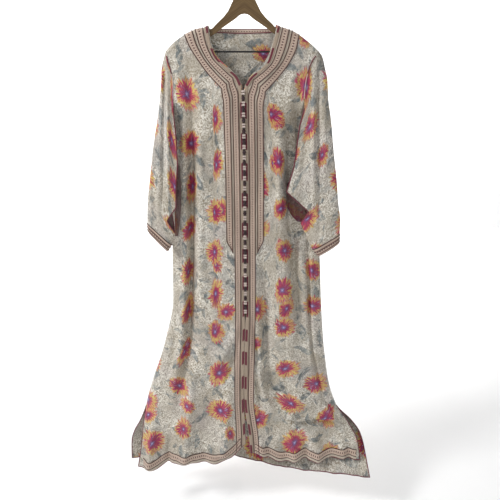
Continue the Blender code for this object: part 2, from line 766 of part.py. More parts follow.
# ---------------------------------------------------------------- the kaftan
BACK_BAND_DOWN = (0.0035, 0.020, 0.038, 0.056)  # rows of the back neck band, under the neckline
BACK_BAND_ENDS = {"right": 0.094, "left": 0.085}
BACK_BAND_COLUMNS = 15
BACK_BAND_SPREAD, BACK_BAND_RISE = 10.3, 0.35  # towards the shoulder seams
SEAM_CLEAR = 0.004  # between the back neck band and the shoulder seam
NECK_BAND_STATIONS = 12
CORD_RADIUS, CORD_IN, CORD_LIFT = 0.0010, 0.0005, 0.0024  # armhole cord, and its place beside the seam
CORD_SHARES = (0.16, 0.97, 9)  # down the armhole: start, end and number of points
BUTTON_LIFT = 0.0058  # a button's middle in front of the panels
BUTTON_HALF = (0.0036, 0.0033, 0.0048)
HEM_ROW = len(TOP_SHARES) + len(BODY_ROWS) + len(HEM_SHARES) - 2  # the hem band's upper rim
MITRE_ROW = len(TOP_SHARES) - 1


def make_front(side):
    grid = shift_seam(front_grid(side), -1)
    rows, columns = len(grid), len(grid[0])
    faces = oriented(rows, columns, grid)
    axes = side_seam_axes(grid, [columns - 1])
    wall(f"front_panel_{side}", flat(grid), faces, CLOTH, MATERIALS["satin"], axes)
    down = list(range(MITRE_ROW, rows))
    band_on(f"front_edge_{side}", grid, faces, down, (0, 1), MATERIALS["braid"])
    band_on(f"front_band_inner_{side}", grid, faces, down, (2, 3), MATERIALS["band"])
    last = MITRE_ROW + sum(drop < OUTER_BAND_END_DROP for drop in BODY_ROWS)
    outer_rows = list(range(MITRE_ROW, last + 1))
    band_on(f"front_band_outer_{side}", grid, faces, outer_rows, (4, 5), MATERIALS["band"], last)
    hem_columns = tuple(range(BAND_COLUMNS.index(0.038), columns))
    band_on(f"hem_band_{side}", grid, faces, [HEM_ROW, HEM_ROW + 1], hem_columns, MATERIALS["band"])


def back_neck_grid():
    """The band round the back of the neck: it spreads and rises towards the shoulder seams."""
    grid = []
    for down in BACK_BAND_DOWN:
        points = []
        for x in np.linspace(-BACK_BAND_ENDS["right"], BACK_BAND_ENDS["left"], BACK_BAND_COLUMNS):
            side = "left" if x > 0 else "right"
            towards_end = abs(float(x)) / BACK_BAND_ENDS["right"]
            out = abs(float(x)) * (1 + BACK_BAND_SPREAD * down * towards_end**3)
            top = max(back_top(side, out), float(shoulder_drop(side, out)) + SEAM_CLEAR)
            drop = top + down * (1 - BACK_BAND_RISE * towards_end**2)
            y = float(back_y(side, out, drop))
            points.append(at(side, out, drop, y + LIFT + TRIM))
        grid.append(points)
    return grid


def make_back():
    grid = shift_seam(back_grid(), 1)
    rows, columns = len(grid), len(grid[0])
    faces = oriented(rows, columns, grid)
    axes = side_seam_axes(grid, [0, columns - 1])
    wall("back_panel", flat(grid), faces, CLOTH, MATERIALS["satin"], axes)
    band_on("hem_band_back", grid, faces, [HEM_ROW, HEM_ROW + 1], tuple(range(columns)), MATERIALS["band"])
    band = back_neck_grid()
    faces = oriented(len(band), len(band[0]), band)
    wall("back_neck_band", flat(band), faces, TRIM, MATERIALS["band"])


def make_neck_band(name, side, shares):
    """One band of the neck trim, across a share of the trim's width, over the front panel."""
    stations = NECK_TRIM[side]
    places = np.linspace(0, len(stations) - 1, NECK_BAND_STATIONS)
    numbers = list(range(len(stations)))

    def rim(share, place):
        out = (1 - share) * through(numbers, column(stations, "in_out"), place)
        out += share * through(numbers, column(stations, "rim_out"), place)
        drop = (1 - share) * through(numbers, column(stations, "in_drop"), place)
        drop += share * through(numbers, column(stations, "rim_drop"), place)
        return opening_out(side, float(out), float(drop)), float(drop)

    grid = []
    for place in places:
        points = []
        for share in shares:
            out, drop = rim(share, place)
            points.append(at(side, out, drop, float(front_y(side, out, drop)) - LIFT - TRIM))
        grid.append(points)
    wall(f"{name}_{side}", flat(grid), oriented(len(grid), 2, grid), TRIM, MATERIALS["band"])


def make_sleeve(side):
    grid = sleeve_grid(side)
    rows, columns = len(grid), len(grid[0])
    shares = column(SLEEVE_EDGES[side], "share")
    closed = shares.index(SLEEVE_CLOSED_FROM[side])
    a, b, c = grid[2][2], grid[2][3], grid[3][2]
    flip = (b - a).cross(c - a).y > 0
    faces = grid_faces(rows, columns, closed, flip)
    points = flat(grid)
    axes = {n: (0, 2) for n in range(columns)}
    axes[columns // 2] = (0, 1)
    wall(f"sleeve_{side}", points, faces, CLOTH, MATERIALS["satin"], axes)

    normals = point_normals(points, faces)
    band_row = shares.index(CUFF_BAND_SHARE)
    lowest = [row * columns + col for row in (band_row, rows - 1) for col in range(columns)]
    outer = [points[n] + normals[n] * (GAP + TRIM) for n in lowest]
    ring = grid_faces(2, columns, 0, flip)
    wall(f"cuff_band_{side}", outer, ring, TRIM, MATERIALS["band"], normals=[normals[n] for n in lowest])

    cord = []
    for share in np.linspace(*CORD_SHARES):
        drop = TIP_DROP + share * (ARMPIT_DROP - TIP_DROP)
        out = float(read(BODY_WIDTH, "drop", side, drop)) - CORD_IN
        y = -float(read(BODY_DEPTH, "drop", "armhole", drop) * roll(side, out, drop))
        cord.append(at(side, out, drop, y - CORD_LIFT))
    tube(f"armhole_cord_{side}", cord, CORD_RADIUS, 1, MATERIALS["cord"])


def make_buttons():
    """Knotted silk buttons down the fastening, each a small round over the edge bands."""
    for number in range(BUTTONS):
        drop = FIRST_BUTTON_DROP + number * BUTTON_PITCH
        x = float(read(FRONT_OPENING, "drop", "shift", drop))
        y = float(front_y("right", BAND_COLUMNS[0], drop)) - BUTTON_LIFT
        place = (x, y, SHOULDER_Z - drop)
        bpy.ops.mesh.primitive_uv_sphere_add(segments=8, ring_count=5, radius=1, location=place)
        button = bpy.context.object
        button.name = f"button_{number + 1:02d}"
        button.scale = BUTTON_HALF
        button.data.materials.append(MATERIALS["cord"])
        bpy.ops.object.shade_smooth()
        for old in list(button.users_collection):
            old.objects.unlink(button)
        kaftan.objects.link(button)


for existing in list(bpy.data.objects):
    bpy.data.objects.remove(existing, do_unlink=True)
kaftan = bpy.data.collections.new("moroccan_kaftan")
bpy.context.scene.collection.children.link(kaftan)
MATERIALS = {
    "satin": material("jacquard satin", (0.62, 0.58, 0.50), 0.42),
    "band": material("woven band", (0.62, 0.46, 0.38), 0.60),
    "braid": material("edge braid", (0.40, 0.12, 0.16), 0.60),
    "cord": material("silk cord", (0.16, 0.05, 0.07), 0.50),
    "wood": material("hanger wood", (0.36, 0.24, 0.12), 0.45),
    "bar": material("black bar", (0.02, 0.02, 0.02), 0.40),
    "steel": material("hook steel", (0.60, 0.60, 0.60), 0.25, 1.0),
}

make_hanger()
make_back()
for worn_side in ("right", "left"):
    make_front(worn_side)
    make_sleeve(worn_side)
    for band_name, band_shares in NECK_BANDS.items():
        make_neck_band(band_name, worn_side, band_shares)
make_buttons()
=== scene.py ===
"""The looks of a Moroccan kaftan on a wooden hanger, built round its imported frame.

Metres, +Z up, the front faces -Y and the wearer's right is at -X. "Drop" is the distance down from
the top of the shoulders, and "out" is the distance from the middle towards a side."""

import math
from collections import namedtuple
from functools import partial

import bpy
import numpy as np
from mathutils import Matrix, Vector


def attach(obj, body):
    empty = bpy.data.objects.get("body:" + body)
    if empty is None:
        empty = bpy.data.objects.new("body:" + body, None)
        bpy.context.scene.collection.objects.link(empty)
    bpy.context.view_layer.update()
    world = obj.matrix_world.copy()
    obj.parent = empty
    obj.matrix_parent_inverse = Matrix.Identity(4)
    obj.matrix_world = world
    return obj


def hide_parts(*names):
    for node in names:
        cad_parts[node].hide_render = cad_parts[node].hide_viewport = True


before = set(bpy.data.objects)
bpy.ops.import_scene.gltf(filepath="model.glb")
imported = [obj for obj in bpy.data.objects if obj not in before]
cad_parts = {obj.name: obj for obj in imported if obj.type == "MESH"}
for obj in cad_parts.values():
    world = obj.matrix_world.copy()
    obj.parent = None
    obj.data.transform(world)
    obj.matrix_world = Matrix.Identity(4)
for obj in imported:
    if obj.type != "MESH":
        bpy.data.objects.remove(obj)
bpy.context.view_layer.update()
bpy.ops.object.select_all(action="DESELECT")

# ---------------------------------------------------------------- driving sizes
SHOULDER_Z = -0.165  # height of the shoulders' top under the inside of the hook
GAP = 0.0003  # between pieces at a seam
TIP_DROP = 0.064  # shoulder tip, where the armhole starts
MITRE_DROP = 0.178  # where the neck bands become the front bands
ARMPIT_DROP = 0.198
SLIT_DROP = 1.22  # top of the side slits
FLOOR_DROP = 1.450  # lowest part of the back hem
SHOULDER_ROLL = 0.012  # how far under the shoulder seam the cloth reaches its full depth
BUTTONS = 22
BUTTON_PITCH = 0.0305
FIRST_BUTTON_DROP = 0.190
SIGN = {"right": -1, "left": 1}


# ---------------------------------------------------------------- tables
def entries(kind, *values):
    """A table: a row of one kind for each group of values."""
    return [kind(*row) for row in values]


Width = namedtuple("Width", "drop right left")
# Half-widths of the panels: the armhole as far as ARMPIT_DROP, and the side seam under it.
BODY_WIDTH = entries(
    Width, (-0.030, 0.2185, 0.2055), (0.064, 0.2185, 0.2055), (0.090, 0.2140, 0.1900),
    (0.115, 0.2075, 0.1800), (0.150, 0.2017, 0.1730), (0.198, 0.2030, 0.1700),
    (0.350, 0.2110, 0.1900), (0.500, 0.2190, 0.2120), (0.690, 0.2280, 0.2350),
    (0.826, 0.2320, 0.2440), (0.970, 0.2630, 0.2570), (1.045, 0.2860, 0.2670),
    (1.122, 0.3130, 0.2800), (1.220, 0.3400, 0.3120),
)
FRONT_FLARE = BODY_WIDTH + entries(
    Width, (1.280, 0.3490, 0.3540), (1.340, 0.3560, 0.3850), (1.450, 0.3740, 0.4000),
)
BACK_FLARE = BODY_WIDTH + entries(
    Width, (1.280, 0.3630, 0.3660), (1.323, 0.3860, 0.3960), (1.365, 0.3990, 0.4100),
    (1.450, 0.4060, 0.4250),
)

Depth = namedtuple("Depth", "drop front back armhole middle")
# Depth of the front and back from the side seam, half the armhole's depth, and the side seam's
# own place.
BODY_DEPTH = entries(
    Depth, (-0.030, 0.0105, 0.0105, 0.0105, 0.0000), (0.064, 0.0135, 0.0135, 0.0115, 0.0000),
    (0.120, 0.0200, 0.0190, 0.0125, 0.0000), (0.198, 0.0280, 0.0250, 0.0135, 0.0000),
    (0.250, 0.0310, 0.0280, GAP / 2, 0.0020), (0.350, 0.0350, 0.0320, GAP / 2, 0.0050),
    (0.600, 0.0385, 0.0350, GAP / 2, 0.0050), (0.900, 0.0430, 0.0400, GAP / 2, 0.0010),
    (1.220, 0.0510, 0.0480, GAP / 2, 0.0000), (1.300, 0.0530, 0.0500, 0.0260, 0.0000),
    (1.450, 0.0580, 0.0520, 0.0570, 0.0000),
)

Place = namedtuple("Place", "out drop")
SHOULDER = {
    "right": entries(
        Place, (0.000, -0.030), (0.070, -0.020), (0.096, -0.005), (0.110, 0.003), (0.129, 0.006),
        (0.152, 0.015), (0.191, 0.038), (0.2185, 0.064),
    ),
    "left": entries(
        Place, (0.000, -0.030), (0.066, -0.020), (0.086, -0.006), (0.101, 0.002), (0.116, 0.006),
        (0.141, 0.016), (0.186, 0.047), (0.2055, 0.064),
    ),
}
FRONT_NECK = {
    "right": entries(
        Place, (0.003, 0.162), (0.006, 0.156), (0.0206, 0.131), (0.0436, 0.110), (0.076, 0.080),
        (0.0928, 0.037), (0.0968, 0.0075),
    ),
    "left": entries(
        Place, (0.003, 0.162), (0.006, 0.152), (0.0217, 0.129), (0.0450, 0.110), (0.061, 0.094),
        (0.0758, 0.048), (0.0868, 0.0075),
    ),
}
BACK_NECK_DROP = 0.008

NeckStation = namedtuple("NeckStation", "in_out in_drop rim_out rim_drop")
# Both rims of the neck trim, from the shoulder seam to the mitre.
NECK_TRIM = {
    "right": entries(
        NeckStation, (0.0985, 0.0090, 0.1620, 0.0280), (0.0945, 0.0370, 0.1520, 0.0520),
        (0.0785, 0.0800, 0.1280, 0.0900), (0.0450, 0.1110, 0.0997, 0.1270),
        (0.0215, 0.1325, 0.0720, 0.1510), (0.0070, 0.1580, 0.0580, 0.1660),
        (0.0035, 0.1765, 0.0555, 0.1765),
    ),
    "left": entries(
        NeckStation, (0.0888, 0.0090, 0.1490, 0.0290), (0.0790, 0.0450, 0.1440, 0.0560),
        (0.0640, 0.0930, 0.1270, 0.0920), (0.0460, 0.1115, 0.0990, 0.1290),
        (0.0230, 0.1310, 0.0700, 0.1540), (0.0070, 0.1550, 0.0575, 0.1670),
        (0.0035, 0.1765, 0.0555, 0.1765),
    ),
}

Hem = namedtuple("Hem", "out drop")
FRONT_HEM = {
    "right": entries(
        Hem, (-0.012, 1.322), (0.010, 1.345), (0.053, 1.394), (0.104, 1.418), (0.229, 1.417),
        (0.274, 1.424), (0.312, 1.443), (0.374, 1.434),
    ),
    "left": entries(
        Hem, (0.012, 1.372), (0.031, 1.374), (0.069, 1.389), (0.135, 1.409), (0.207, 1.398),
        (0.254, 1.409), (0.301, 1.401), (0.400, 1.407),
    ),
}
HemSweep = namedtuple("HemSweep", "x y")
# Where the back hem lies, from -X to +X: its left part comes forward under the front.
BACK_HEM = entries(
    HemSweep, (-0.410, 0.012), (-0.300, 0.034), (-0.100, 0.040), (0.000, 0.012), (0.108, -0.027),
    (0.210, -0.052), (0.310, -0.068), (0.430, -0.091),
)
BACK_SWEEP_DROP = SLIT_DROP  # where the back starts to lean towards its hem
BACK_SWEEP_POWER = 3.0  # the lean comes late, under the front's hem

Fold = namedtuple("Fold", "drop out half depth")
# A trough in the cloth, by drop; a negative depth is a ridge.
FRONT_FOLDS = {
    "right": {
        "side trough": entries(
            Fold, (0.110, 0.150, 0.018, 0.000), (0.200, 0.152, 0.018, 0.007),
            (0.350, 0.157, 0.018, 0.017), (0.690, 0.166, 0.018, 0.019),
            (0.830, 0.168, 0.019, 0.018), (1.000, 0.184, 0.022, 0.014),
            (1.160, 0.216, 0.026, 0.007), (1.320, 0.250, 0.030, 0.000),
        ),
        "skirt trough": entries(
            Fold, (0.950, 0.095, 0.030, 0.000), (1.150, 0.110, 0.032, 0.006),
            (1.400, 0.130, 0.036, 0.010),
        ),
        "hem trough": entries(Fold, (1.100, 0.270, 0.026, 0.000), (1.420, 0.282, 0.030, 0.012)),
    },
    "left": {
        "side trough": entries(
            Fold, (0.110, 0.150, 0.016, 0.000), (0.200, 0.149, 0.016, 0.004),
            (0.340, 0.138, 0.020, 0.015), (0.540, 0.139, 0.020, 0.017),
            (0.690, 0.150, 0.020, 0.016), (0.830, 0.164, 0.024, 0.011),
            (1.000, 0.184, 0.028, 0.006), (1.200, 0.216, 0.030, 0.000),
        ),
        "trim trough": entries(
            Fold, (0.600, 0.070, 0.022, 0.000), (0.720, 0.070, 0.022, 0.007),
            (0.900, 0.076, 0.024, 0.014), (1.100, 0.088, 0.026, 0.014),
            (1.250, 0.104, 0.030, 0.009), (1.400, 0.120, 0.034, 0.006),
        ),
        "hem trough": entries(Fold, (1.120, 0.250, 0.030, 0.000), (1.400, 0.300, 0.036, 0.012)),
    },
}
BACK_FOLDS = {
    "right": {
        "side trough": entries(
            Fold, (0.180, 0.140, 0.024, 0.000), (0.450, 0.146, 0.026, 0.012),
            (0.850, 0.160, 0.028, 0.013), (1.250, 0.215, 0.034, 0.004),
        ),
    },
    "left": {
        "side trough": entries(
            Fold, (0.180, 0.130, 0.024, 0.000), (0.400, 0.126, 0.026, 0.010),
            (0.800, 0.150, 0.030, 0.014), (1.250, 0.200, 0.034, 0.005),
        ),
    },
}

Press = namedtuple("Press", "drop share")
# How far a sleeve presses the side of the front back, and where that starts.
SLEEVE_PRESS = entries(Press, (0.215, 0.0), (0.290, 1.0), (0.630, 1.0), (0.730, 0.0))
PRESS_OUT = {"right": 0.178, "left": 0.140}
PRESS_SPREAD = 0.026
PRESSED_DEPTH = 0.22  # share of the depth left under a sleeve

SleeveSection = namedtuple("SleeveSection", "share front_edge back_edge")
# By share of the way from the armhole to the cuff: the front layer's free edge and the back
# layer's.
SLEEVE_EDGES = {
    "right": entries(
        SleeveSection, (0.00, 0.2033, 0.2033), (0.04, 0.2025, 0.2085), (0.12, 0.2010, 0.2125),
        (0.25, 0.1965, 0.2165), (0.40, 0.1950, 0.2205), (0.56, 0.2030, 0.2230),
        (0.69, 0.2050, 0.2230), (0.776, 0.2330, 0.2190), (0.87, 0.2130, 0.2130),
        (0.95, 0.2220, 0.2220), (1.00, 0.2360, 0.2360),
    ),
    "left": entries(
        SleeveSection, (0.00, 0.1703, 0.1703), (0.04, 0.1665, 0.1775), (0.12, 0.1600, 0.1860),
        (0.25, 0.1520, 0.1960), (0.40, 0.1440, 0.2040), (0.56, 0.1235, 0.2080),
        (0.69, 0.1900, 0.1980), (0.776, 0.1680, 0.1680), (0.87, 0.1860, 0.1860),
        (0.95, 0.2060, 0.2060), (1.00, 0.2240, 0.2240),
    ),
}
SLEEVE_CLOSED_FROM = {"right": 0.87, "left": 0.776}
CuffLine = namedtuple("CuffLine", "outer_drop inner_drop")
CUFF = {"right": CuffLine(0.583, 0.648), "left": CuffLine(0.620, 0.664)}
CUFF_BAND_SHARE = 0.95  # where the cuff band starts, down the sleeve
Outline = namedtuple("Outline", "drop right left")
SLEEVE_OUTER = entries(
    Outline, (0.064, 0.2189, 0.2059), (0.079, 0.2240, 0.2175), (0.116, 0.2340, 0.2280),
    (0.143, 0.2360, 0.2350), (0.198, 0.2430, 0.2400), (0.255, 0.2520, 0.2490),
    (0.342, 0.2675, 0.2590), (0.4325, 0.2810, 0.2720), (0.494, 0.2900, 0.2790),
    (0.557, 0.2940, 0.2880), (0.665, 0.2900, 0.2880),
)
SleeveHang = namedtuple("SleeveHang", "drop middle half")
# A sleeve comes forward of the side seam as it drops, and lies on the front's pressed side.
SLEEVE_HANG = entries(
    SleeveHang, (0.064, 0.000, 0.0115), (0.120, 0.000, 0.0125), (0.198, 0.000, 0.0135),
    (0.215, -0.0035, 0.0145), (0.250, -0.0085, 0.0150), (0.300, -0.0160, 0.0145),
    (0.350, -0.0225, 0.0135), (0.500, -0.0265, 0.0130), (0.670, -0.0280, 0.0130),
)

Opening = namedtuple("Opening", "drop shift spread")
# The middle of the fastening, which wanders, and how far the fronts part under the last button.
FRONT_OPENING = entries(
    Opening, (0.160, -0.004, 0.000), (0.460, 0.000, 0.000), (0.860, 0.001, 0.000),
    (1.000, -0.002, 0.000), (1.160, -0.004, 0.000), (1.320, 0.007, 0.006), (1.450, 0.010, 0.009),
)


# ---------------------------------------------------------------- reading the tables
def column(table, name):
    return [getattr(row, name) for row in table]


def through(places, values, wanted):
    """A smooth curve with no overshoot through the values at the places, read where wanted."""
    places, values = np.asarray(places, float), np.asarray(values, float)
    step = np.diff(places)
    rise = np.diff(values) / step
    slope = np.zeros_like(values)
    slope[0], slope[-1] = rise[0], rise[-1]
    same = rise[:-1] * rise[1:] > 0
    slope[1:-1][same] = 2 * (rise[:-1] * rise[1:])[same] / (rise[:-1] + rise[1:])[same]
    wanted = np.clip(wanted, places[0], places[-1])
    k = np.clip(np.searchsorted(places, wanted) - 1, 0, len(step) - 1)
    s = (wanted - places[k]) / step[k]
    ease = s * s * (3 - 2 * s)
    bend = s * (1 - s) * step[k] * ((1 - s) * slope[k] - s * slope[k + 1])
    return values[k] * (1 - ease) + values[k + 1] * ease + bend


def read(table, key, name, wanted):
    return through(column(table, key), column(table, name), wanted)


def ease_in(value, start, end):
    s = np.clip((value - start) / (end - start), 0, 1)
    return s * s * (3 - 2 * s)


def spot(side, out, y, drop):
    """Points from distances out, depths and drops."""
    return np.stack([SIGN[side] * out, y, SHOULDER_Z - drop], axis=-1)


def unit(vectors):
    return vectors / np.maximum(np.linalg.norm(vectors, axis=-1, keepdims=True), 1e-12)


# ---------------------------------------------------------------- form of the body
def shoulder_drop(side, out):
    return read(SHOULDER[side], "out", "drop", out)


def trough_depth(folds, out, drop):
    """How far all of a side's folds push the cloth in at a point."""
    total = 0.0
    for rows in folds.values():
        middle = read(rows, "drop", "out", drop)
        half = read(rows, "drop", "half", drop)
        depth = read(rows, "drop", "depth", drop)
        off = np.clip(np.abs(out - middle) / (1.5 * half), 0, 1)
        total = total + depth * np.cos(off * math.pi / 2) ** 2
    return total


def roll(side, out, drop):
    """0 at the shoulder seam, 1 where the cloth has its full depth."""
    under = np.clip((drop - shoulder_drop(side, out)) / SHOULDER_ROLL, 0, 1)
    return np.sqrt(1 - (1 - under) ** 2)


def crown_share(share, drop):
    """The rise from the side's depth to the middle's: slow by an armhole, steep by a seam."""
    power = 1.0 - 0.5 * ease_in(drop, ARMPIT_DROP, 0.36)
    return (1 - share**3) ** power


def front_y(side, out, drop):
    reach = read(FRONT_FLARE, "drop", side, drop)
    share = np.clip(np.abs(out) / reach, 0, 1)
    edge = read(BODY_DEPTH, "drop", "armhole", drop)
    crown = read(BODY_DEPTH, "drop", "front", drop)
    beside = ease_in(out, PRESS_OUT[side], PRESS_OUT[side] + PRESS_SPREAD)
    pressed = read(SLEEVE_PRESS, "drop", "share", drop) * beside
    depth = edge + (crown - edge) * crown_share(share, drop) * (1 - pressed * (1 - PRESSED_DEPTH))
    depth = depth - trough_depth(FRONT_FOLDS[side], out, drop) * ease_in(1 - share, 0.0, 0.12)
    return read(BODY_DEPTH, "drop", "middle", drop) - depth * roll(side, out, drop)


def back_y(side, out, drop):
    reach = read(BACK_FLARE, "drop", side, drop)
    share = np.clip(np.abs(out) / reach, 0, 1)
    above_slit = 1 - ease_in(drop, SLIT_DROP, SLIT_DROP + 0.02)
    edge = read(BODY_DEPTH, "drop", "armhole", drop) * above_slit
    crown = read(BODY_DEPTH, "drop", "back", drop)
    depth = edge + (crown - edge) * crown_share(share, drop)
    depth = depth - trough_depth(BACK_FOLDS[side], out, drop) * ease_in(1 - share, 0.0, 0.12)
    y = read(BODY_DEPTH, "drop", "middle", drop) + depth * roll(side, out, drop)
    lean = np.clip((drop - BACK_SWEEP_DROP) / (FLOOR_DROP - BACK_SWEEP_DROP), 0, 1)
    lean = lean**BACK_SWEEP_POWER
    hem = read(BACK_HEM, "x", "y", SIGN[side] * out)
    return y * (1 - lean) + hem * lean


def opening_out(side, out, drop):
    """The bands follow the fastening, and the cloth beside them moves less the farther out it
    is."""
    follow = 1 - ease_in(out, 0.06, 0.14)
    shift = SIGN[side] * read(FRONT_OPENING, "drop", "shift", drop)
    return out + follow * (shift + read(FRONT_OPENING, "drop", "spread", drop))


# ---------------------------------------------------------------- folds finer than the frame's
CreaseStop = namedtuple("CreaseStop", "out drop strength")
Crease = namedtuple("Crease", "stops half depth")


def crease(half, depth, *stops):
    """A line on the cloth through its stops (out, drop, strength); a negative depth is a ridge."""
    return Crease(entries(CreaseStop, *stops), half, depth)


FRONT_CREASES = {
    "right": [
        crease(0.012, -0.008, (0.016, 0.87, 0), (0.060, 0.98, 1), (0.117, 1.10, 0)),
        crease(0.009, 0.006, (0.024, 0.95, 0), (0.050, 1.06, 1), (0.075, 1.16, 0)),
        crease(0.003, 0.0014, (0.063, 0.728, 0), (0.10, 0.731, 1), (0.140, 0.735, 0)),
        crease(
            0.010, 0.0115, (0.148, 0.19, 0), (0.158, 0.38, 1), (0.166, 0.70, 1.1),
            (0.186, 0.96, 0.8), (0.215, 1.16, 0),
        ),
        crease(
            0.012, -0.004, (0.120, 0.21, 0), (0.128, 0.36, 1), (0.134, 0.60, 0.6), (0.138, 0.9, 0),
        ),
        crease(
            0.012, -0.006, (0.182, 0.70, 0), (0.196, 0.86, 1), (0.225, 1.05, 0.7), (0.250, 1.25, 0),
        ),
        crease(0.012, 0.005, (0.200, 0.80, 0), (0.232, 1.00, 1), (0.285, 1.18, 0)),
        crease(0.018, -0.010, (0.165, 1.05, 0), (0.190, 1.22, 1), (0.205, 1.40, 1)),
        crease(0.016, -0.008, (0.055, 1.08, 0), (0.062, 1.22, 1), (0.075, 1.38, 1)),
        crease(0.014, -0.008, (0.300, 1.22, 0), (0.325, 1.34, 1), (0.335, 1.43, 1)),
        crease(
            0.012, 0.004, (0.120, 1.245, 0), (0.165, 1.225, 1), (0.215, 1.235, 1), (0.270, 1.27, 0),
        ),
        crease(0.010, 0.006, (0.245, 1.28, 0), (0.262, 1.36, 1), (0.268, 1.43, 1)),
        crease(0.010, 0.003, (0.150, 0.088, 0), (0.158, 0.14, 1), (0.152, 0.22, 0)),
        crease(0.016, 0.003, (0.070, 0.22, 0), (0.085, 0.42, 1), (0.090, 0.64, 0)),
    ],
    "left": [
        crease(
            0.010, -0.011, (0.018, 0.96, 0), (0.050, 1.10, 1), (0.086, 1.20, 0.4), (0.130, 1.25, 0),
        ),
        crease(0.011, 0.010, (0.050, 0.62, 0), (0.053, 0.78, 1), (0.066, 1.0, 1), (0.084, 1.18, 0)),
        crease(
            0.008, 0.009, (0.024, 0.86, 0), (0.034, 1.00, 1), (0.044, 1.16, 1), (0.052, 1.26, 0),
        ),
        crease(
            0.006, 0.007, (0.105, 1.22, 0), (0.140, 1.247, 1), (0.180, 1.262, 1), (0.214, 1.252, 1),
            (0.300, 1.272, 0.9), (0.372, 1.318, 0),
        ),
        crease(
            0.010, -0.007, (0.105, 1.205, 0), (0.140, 1.231, 1), (0.180, 1.244, 1),
            (0.214, 1.235, 1), (0.300, 1.252, 0.9), (0.360, 1.30, 0),
        ),
        crease(0.004, 0.003, (0.148, 0.112, 0), (0.155, 0.15, 1), (0.160, 0.21, 0)),
        crease(0.004, 0.003, (0.164, 0.120, 0), (0.163, 0.16, 1), (0.158, 0.23, 0)),
        crease(
            0.0045, 0.006, (0.186, 0.60, 0), (0.199, 0.77, 0.7), (0.219, 1.0, 1), (0.263, 1.186, 1),
            (0.319, 1.262, 1), (0.362, 1.30, 0),
        ),
        crease(
            0.012, 0.0105, (0.120, 0.22, 0), (0.128, 0.36, 1), (0.134, 0.52, 1), (0.152, 0.70, 1),
            (0.168, 0.84, 0.8), (0.180, 1.0, 0),
        ),
        crease(0.012, -0.005, (0.100, 0.24, 0), (0.102, 0.42, 1), (0.110, 0.70, 0)),
        crease(
            0.005, 0.006, (0.196, 0.56, 0), (0.198, 0.70, 1), (0.205, 0.90, 1), (0.232, 1.10, 0),
        ),
        crease(0.020, -0.006, (0.150, 0.98, 0), (0.170, 1.10, 1), (0.190, 1.22, 0)),
        crease(0.012, -0.006, (0.045, 1.26, 0), (0.055, 1.34, 1), (0.062, 1.39, 1)),
        crease(0.018, -0.008, (0.150, 1.28, 0), (0.165, 1.35, 1), (0.170, 1.41, 1)),
        crease(0.014, -0.007, (0.235, 1.28, 0), (0.246, 1.35, 1), (0.250, 1.41, 1)),
        crease(0.012, 0.006, (0.195, 1.28, 0), (0.206, 1.35, 1), (0.208, 1.40, 1)),
        crease(0.012, 0.005, (0.340, 1.31, 0), (0.352, 1.36, 1), (0.356, 1.41, 1)),
    ],
}
SLEEVE_CREASES = {
    "right": [
        crease(
            0.0040, 0.0045, (0.2225, 0.075, 0.6), (0.230, 0.20, 1), (0.240, 0.40, 1),
            (0.250, 0.56, 0),
        ),
        crease(
            0.0055, -0.0040, (0.214, 0.10, 0), (0.218, 0.22, 1), (0.222, 0.40, 1), (0.230, 0.56, 0),
        ),
        crease(0.007, 0.0030, (0.262, 0.34, 0), (0.272, 0.46, 1), (0.262, 0.60, 0)),
    ],
    "left": [
        crease(
            0.0035, 0.0050, (0.2065, 0.080, 0.8), (0.2085, 0.20, 1), (0.214, 0.40, 1),
            (0.2235, 0.55, 0.5), (0.226, 0.62, 0),
        ),
        crease(
            0.0050, -0.0045, (0.196, 0.10, 0), (0.1965, 0.22, 1), (0.200, 0.40, 1),
            (0.209, 0.53, 0),
        ),
        crease(0.009, -0.0030, (0.224, 0.09, 0), (0.230, 0.24, 1), (0.246, 0.50, 0)),
        crease(0.008, 0.0030, (0.180, 0.26, 0), (0.172, 0.36, 1), (0.165, 0.46, 0)),
    ],
}
FOLD_SHARE = 1.8  # how much deeper the creases are than their tables say
# length, start, height
WAVES = ((0.128, 0.30, 0.0011), (0.071, 1.70, 0.0007), (0.043, 4.10, 0.0004))
HEM_WAVES = ((0.098, 0.6, 0.0030), (0.057, 2.1, 0.0015))
HEM_WAVES_FROM = (1.20, 1.44)
HEM_RIPPLE = ((0.110, 1.3, 0.0014), (0.052, 0.2, 0.0009))


def crease_depth(creases, out, drop):
    """How far the creases push the cloth in at each point."""
    total = np.zeros(np.broadcast(out, drop).shape)
    for crease in creases:
        nearest = np.full(total.shape, 9.0)
        strength = np.zeros(total.shape)
        for start, end in zip(crease.stops, crease.stops[1:]):
            along = np.array([end.out - start.out, end.drop - start.drop])
            share = (out - start.out) * along[0] + (drop - start.drop) * along[1]
            share = np.clip(share / (along @ along), 0, 1)
            far = np.hypot(out - start.out - share * along[0], drop - start.drop - share * along[1])
            closer = far < nearest
            nearest = np.where(closer, far, nearest)
            here = start.strength + share * (end.strength - start.strength)
            strength = np.where(closer, here, strength)
        total += crease.depth * FOLD_SHARE * strength * np.exp(-((nearest / crease.half) ** 2))
    return total


def waves(table, place):
    return sum(
        height * np.sin(2 * math.pi * place / length + start) for length, start, height in table
    )


def front_place(side, out, drop):
    """Points on the outside of a front, from distances out and drops."""
    out, drop = np.broadcast_arrays(np.asarray(out, float), np.asarray(drop, float))
    reach = read(FRONT_FLARE, "drop", side, drop)
    at_side = ease_in(1 - np.abs(out) / reach, 0.0, 0.08)
    at_shoulder = ease_in(drop, 0.06, 0.16)
    low = ease_in(drop, *HEM_WAVES_FROM)
    y = front_y(side, out, drop)
    y = y + crease_depth(FRONT_CREASES[side], out, drop) * at_side
    y = y + waves(WAVES, out + 0.25 * drop) * at_side * at_shoulder
    y = y - (waves(HEM_WAVES, out) + 0.002) * low
    return spot(side, out, y, drop)


